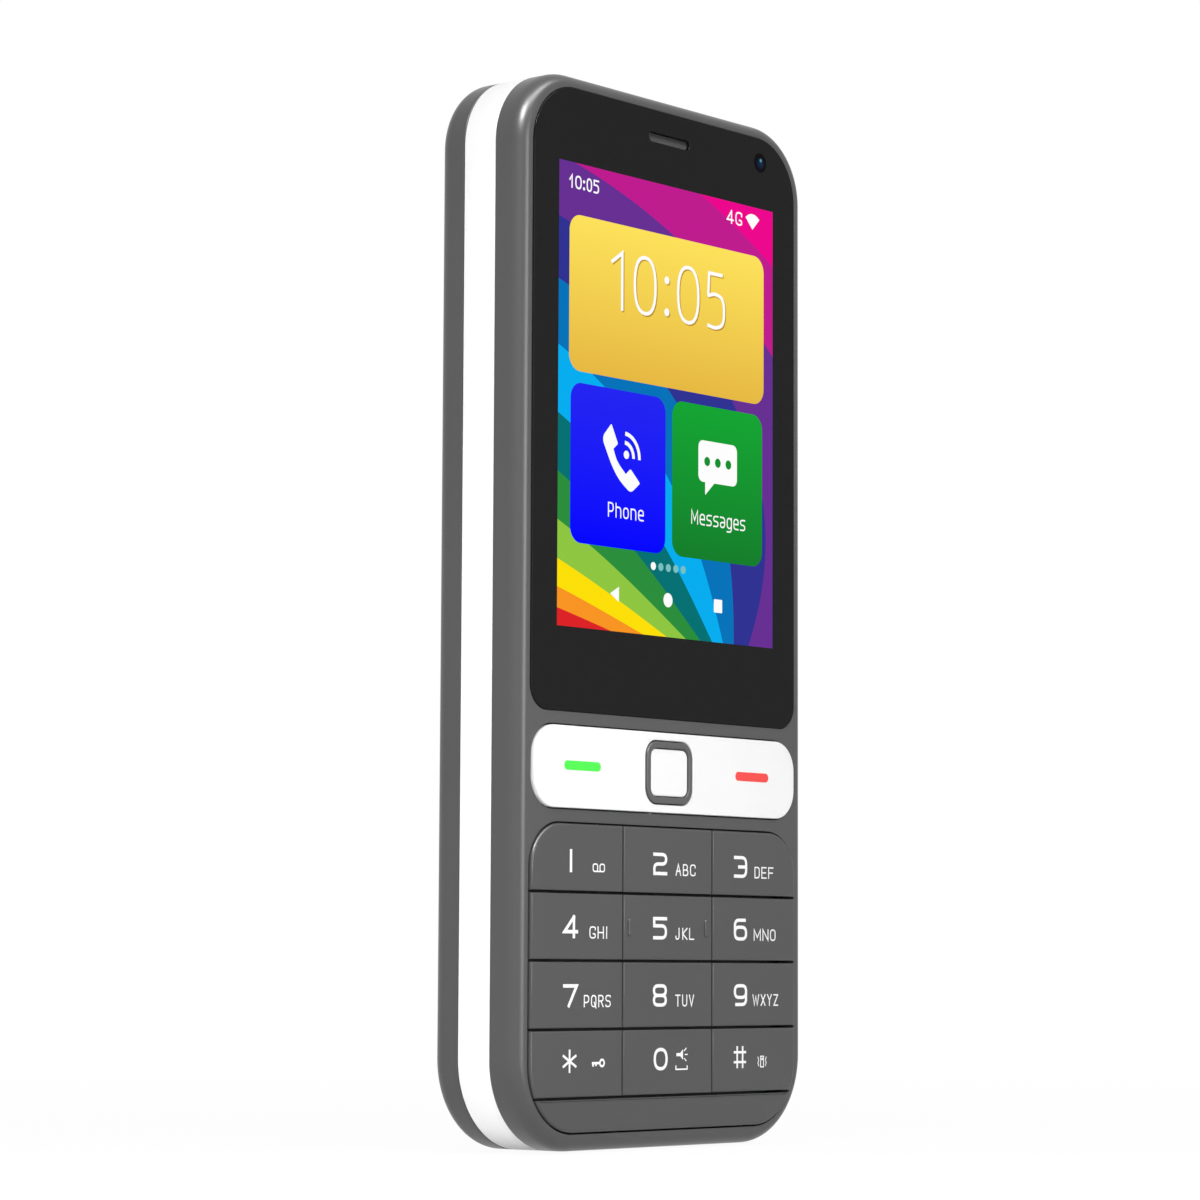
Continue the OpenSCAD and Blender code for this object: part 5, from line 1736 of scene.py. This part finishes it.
@dataclass
class Inside(Assembly):
    """Parts under the shells: packed forms with finishes of their own, the curved ones smoothed."""

    weld: float = 1e-7

    def smoothed(self, node: str) -> bpy.types.Mesh:
        """Copies a packed form, welds it and shades its curves smooth.

        Args:
            node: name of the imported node.

        Returns:
            The copy.
        """
        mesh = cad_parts[node].data.copy()
        mesh.name = f"{node}_smooth"
        work = bmesh.new()
        work.from_mesh(mesh)
        bmesh.ops.remove_doubles(work, verts=work.verts, dist=self.weld)
        work.to_mesh(mesh)
        work.free()
        if "custom_normal" in mesh.attributes:
            mesh.attributes.remove(mesh.attributes["custom_normal"])
        mesh.shade_smooth()
        mesh.set_sharp_from_angle(angle=SHARP)
        return mesh

    def build(self) -> None:
        """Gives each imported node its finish, and a welded smooth copy where it is round."""
        steel = Metal("sheet_steel", (0.55, 0.55, 0.57), rough=0.32)
        bright = Metal("bright_steel", (0.68, 0.68, 0.7), rough=0.22, stretch=(6, 6, 6))
        black = Plastics.BLACK
        wrap = Moulded("battery_wrap", (0.5, 0.5, 0.52), rough=0.35, grain=1500, relief=0.01,
                       cloud=0.08)
        kept = {
            "glass_tape": Moulded("black_tape", grey(0.03), rough=0.7, grain=2500, relief=0.02),
            "lcd_panel": BlackGlass("cell_black"),
            "light_guide": Clear("guide_clear", transmission=0.9),
            "backlight_tray": steel,
            "keymat": Moulded("mat_silicone", (0.03, 0.03, 0.032), rough=0.6, grain=4000),
            "main_board": CircuitBoard("board_green"),
            "shield_cans": steel,
            "sim_sockets": steel,
            "memory_card_socket": steel,
            "battery_contacts": Metal("contact_brass", (0.75, 0.52, 0.2), rough=0.3),
            "usb_socket": bright,
            "microphone": steel,
            "torch_led": Moulded("led_yellow", (0.8, 0.6, 0.12), rough=0.3),
            "antenna": Metal("aerial_foil", (0.72, 0.45, 0.24), rough=0.35),
            "speaker_mesh": Woven("speaker_cloth", (0.02, 0.02, 0.021)),
        }
        for node, finish in kept.items():
            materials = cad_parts[node].data.materials
            materials.clear()
            materials.append(finish.material())
            LOG.info("%s keeps its packed form", node)
        smooth = {
            "earpiece_receiver": steel, "front_camera": black, "dome_switches": bright,
            "headphone_jack": black, "vibration_motor": bright, "loudspeaker": black,
            "rear_camera": black, "battery": wrap, "housing_screws": bright, "nav_gimbal": steel,
        }
        slots = {black: "black_plastic", wrap: "battery_wrap"}
        for node, finish in smooth.items():
            body = node if node == "nav_gimbal" else "chassis"
            self.add(self.smoothed(node), finish, body, slots.get(finish, "sheet_metal"), node)


class Glow(Enum):
    """What a lamp does: it lights the phone or the floor below itself, or it shows in gloss."""

    SOFT = "soft"
    FLOOR = "floor"
    SHINE = "shine"


@dataclass(frozen=True)
class Lamp:
    """A soft box; directions are degrees from the front to the left and up, sizes are metres."""

    name: str
    glow: Glow
    turn: float
    rise: float
    reach: float
    size: tuple[float, float]
    watts: float
    spread: float = 110

    def hang(self) -> None:
        """Adds the lamp: one for the floor points down, the others face the phone."""
        data = bpy.data.lights.new(self.name, "AREA")
        data.shape, data.energy = "RECTANGLE", self.watts
        data.size, data.size_y = self.size
        lamp = bpy.data.objects.new(self.name, data)
        lamp.visible_camera = False
        lamp.visible_glossy = self.glow is Glow.SHINE
        lamp.visible_diffuse = not lamp.visible_glossy
        turn, rise = math.radians(self.turn), math.radians(self.rise)
        flat = math.cos(rise)
        way = Vector((-math.sin(turn) * flat, -math.cos(turn) * flat, math.sin(rise)))
        lamp.location = Vector((0, 0, CAD_BOX[1][2] / 2)) + way * self.reach
        if self.glow is Glow.FLOOR:
            data.spread = math.radians(self.spread)
        else:
            lamp.rotation_euler = way.to_track_quat("Z", "Y").to_euler()
        bpy.context.scene.collection.objects.link(lamp)


@dataclass
class Studio:
    """Camera, lamps, world and floor."""

    place: tuple[float, float, float] = (-376.748, -310.271, 22.218)
    yaw: float = 50.1117
    pitch: float = 5.4425
    roll: float = 0.2571
    lens: float = 115.7286
    sensor: float = 36
    near: float = 0.01
    far: float = 50
    ambient: float = 0.72
    floor_reach: float = 6.0
    floor_gap: float = 0.0002
    floor_tone: float = 0.94
    floor_share: float = 0.94
    fade: float = 450

    LAMPS: ClassVar[tuple[Lamp, ...]] = (
        Lamp("key_box", Glow.SOFT, turn=50, rise=18, reach=1.4, size=(0.9, 0.9), watts=3.9),
        Lamp("floor_box", Glow.FLOOR, turn=50, rise=30, reach=0.2, size=(0.2, 0.2), watts=0.2),
        Lamp("corner_box", Glow.SHINE, turn=58, rise=47, reach=1.2, size=(0.4, 0.34), watts=45.0),
        Lamp("sweep_box", Glow.SHINE, turn=8, rise=60, reach=1.2, size=(1.2, 0.4), watts=34.0),
        Lamp("strip_box", Glow.SHINE, turn=-8, rise=5, reach=1.1, size=(0.6, 0.5), watts=12.0),
    )

    def camera(self) -> None:
        """Sets the camera at the photograph's place, turned by yaw, pitch and roll."""
        yaw, pitch, roll = (math.radians(a) for a in (self.yaw, self.pitch, self.roll))
        flat = math.cos(pitch)
        ahead = Vector((math.sin(yaw) * flat, math.cos(yaw) * flat, math.sin(pitch)))
        right = Vector((math.cos(yaw), -math.sin(yaw), 0))
        up = right.cross(ahead)
        right, up = (math.cos(roll) * right + math.sin(roll) * up,
                     math.cos(roll) * up - math.sin(roll) * right)
        data = bpy.data.cameras.new("camera")
        data.sensor_width, data.lens = self.sensor, self.lens
        data.clip_start, data.clip_end = self.near, self.far
        camera = bpy.data.objects.new("camera", data)
        turn = Matrix((right, up, -ahead)).transposed().to_4x4()
        camera.matrix_world = Matrix.Translation(Vector(self.place) * MM) @ turn
        bpy.context.scene.collection.objects.link(camera)
        bpy.context.scene.camera = camera

    def seen(self, shader: Shader) -> Signal:
        """One for rays that show the background: from the camera, off gloss or through glass.

        Args:
            shader: node tree that asks.

        Returns:
            One or zero.
        """
        path = shader.node("ShaderNodeLightPath").outputs
        camera, glossy, through = (Signal(shader, path[f"Is {kind} Ray"])
                                   for kind in ("Camera", "Glossy", "Transmission"))
        return camera.at_least(glossy).at_least(through)

    def world(self) -> None:
        """White where it is seen, softer as a light."""
        world = bpy.data.worlds.new("studio")
        bpy.context.scene.world = world
        world.use_nodes = True
        shader = Shader(world.node_tree)
        lights = [shader.node("ShaderNodeBackground", {"Color": (1, 1, 1, 1), "Strength": strength})
                  for strength in (self.ambient, 1.0)]
        shader.mixed(self.seen(shader), lights, "ShaderNodeOutputWorld")

    def floor(self) -> None:
        """Pale floor that keeps a soft shadow near the phone and turns plain white further off."""
        z = CAD_BOX[0][2] - self.floor_gap
        corners = [(x * self.floor_reach, y * self.floor_reach, z)
                   for x, y in ((-1, -1), (1, -1), (1, 1), (-1, 1))]
        mesh = bpy.data.meshes.new("floor")
        mesh.from_pydata(corners, [], [range(4)])
        floor = bpy.data.objects.new("floor", mesh)
        bpy.context.scene.collection.objects.link(floor)
        material = bpy.data.materials.new("floor_white")
        material.use_nodes = True
        mesh.materials.append(material)
        shader = Shader(material.node_tree)
        matt = shader.node("ShaderNodeBsdfDiffuse", {"Color": (*grey(self.floor_tone), 1)})
        glow = shader.node("ShaderNodeEmission", {"Color": (1, 1, 1, 1), "Strength": 1.0})
        x, y, _ = shader.axes()
        off = ((x * x + y * y) ** 0.5 / self.fade).at_most(1)
        plain = off * (1 - self.floor_share) + self.floor_share
        shader.mixed(self.seen(shader) * plain, [matt, glow], "ShaderNodeOutputMaterial")

    def build(self) -> None:
        """Sets up camera, world, floor and lamps."""
        self.camera()
        self.world()
        self.floor()
        for lamp in self.LAMPS:
            lamp.hang()
        bpy.context.scene.view_settings.view_transform = "Standard"


def main() -> None:
    """Builds the studio and every sub-assembly."""
    logging.basicConfig(level=logging.INFO, format="%(name)s %(message)s")
    Studio().build()
    parts = [FrontShell(), MiddleFrame(), RearCover(), CoverGlass(), LitPicture(), CallBar(),
             Navigation(), Keypad(), Inside()]
    for part in parts:
        part.build()
        LOG.info("%s has %d pieces", type(part).__name__, len(part.pieces))


if __name__ == "__main__":
    main()
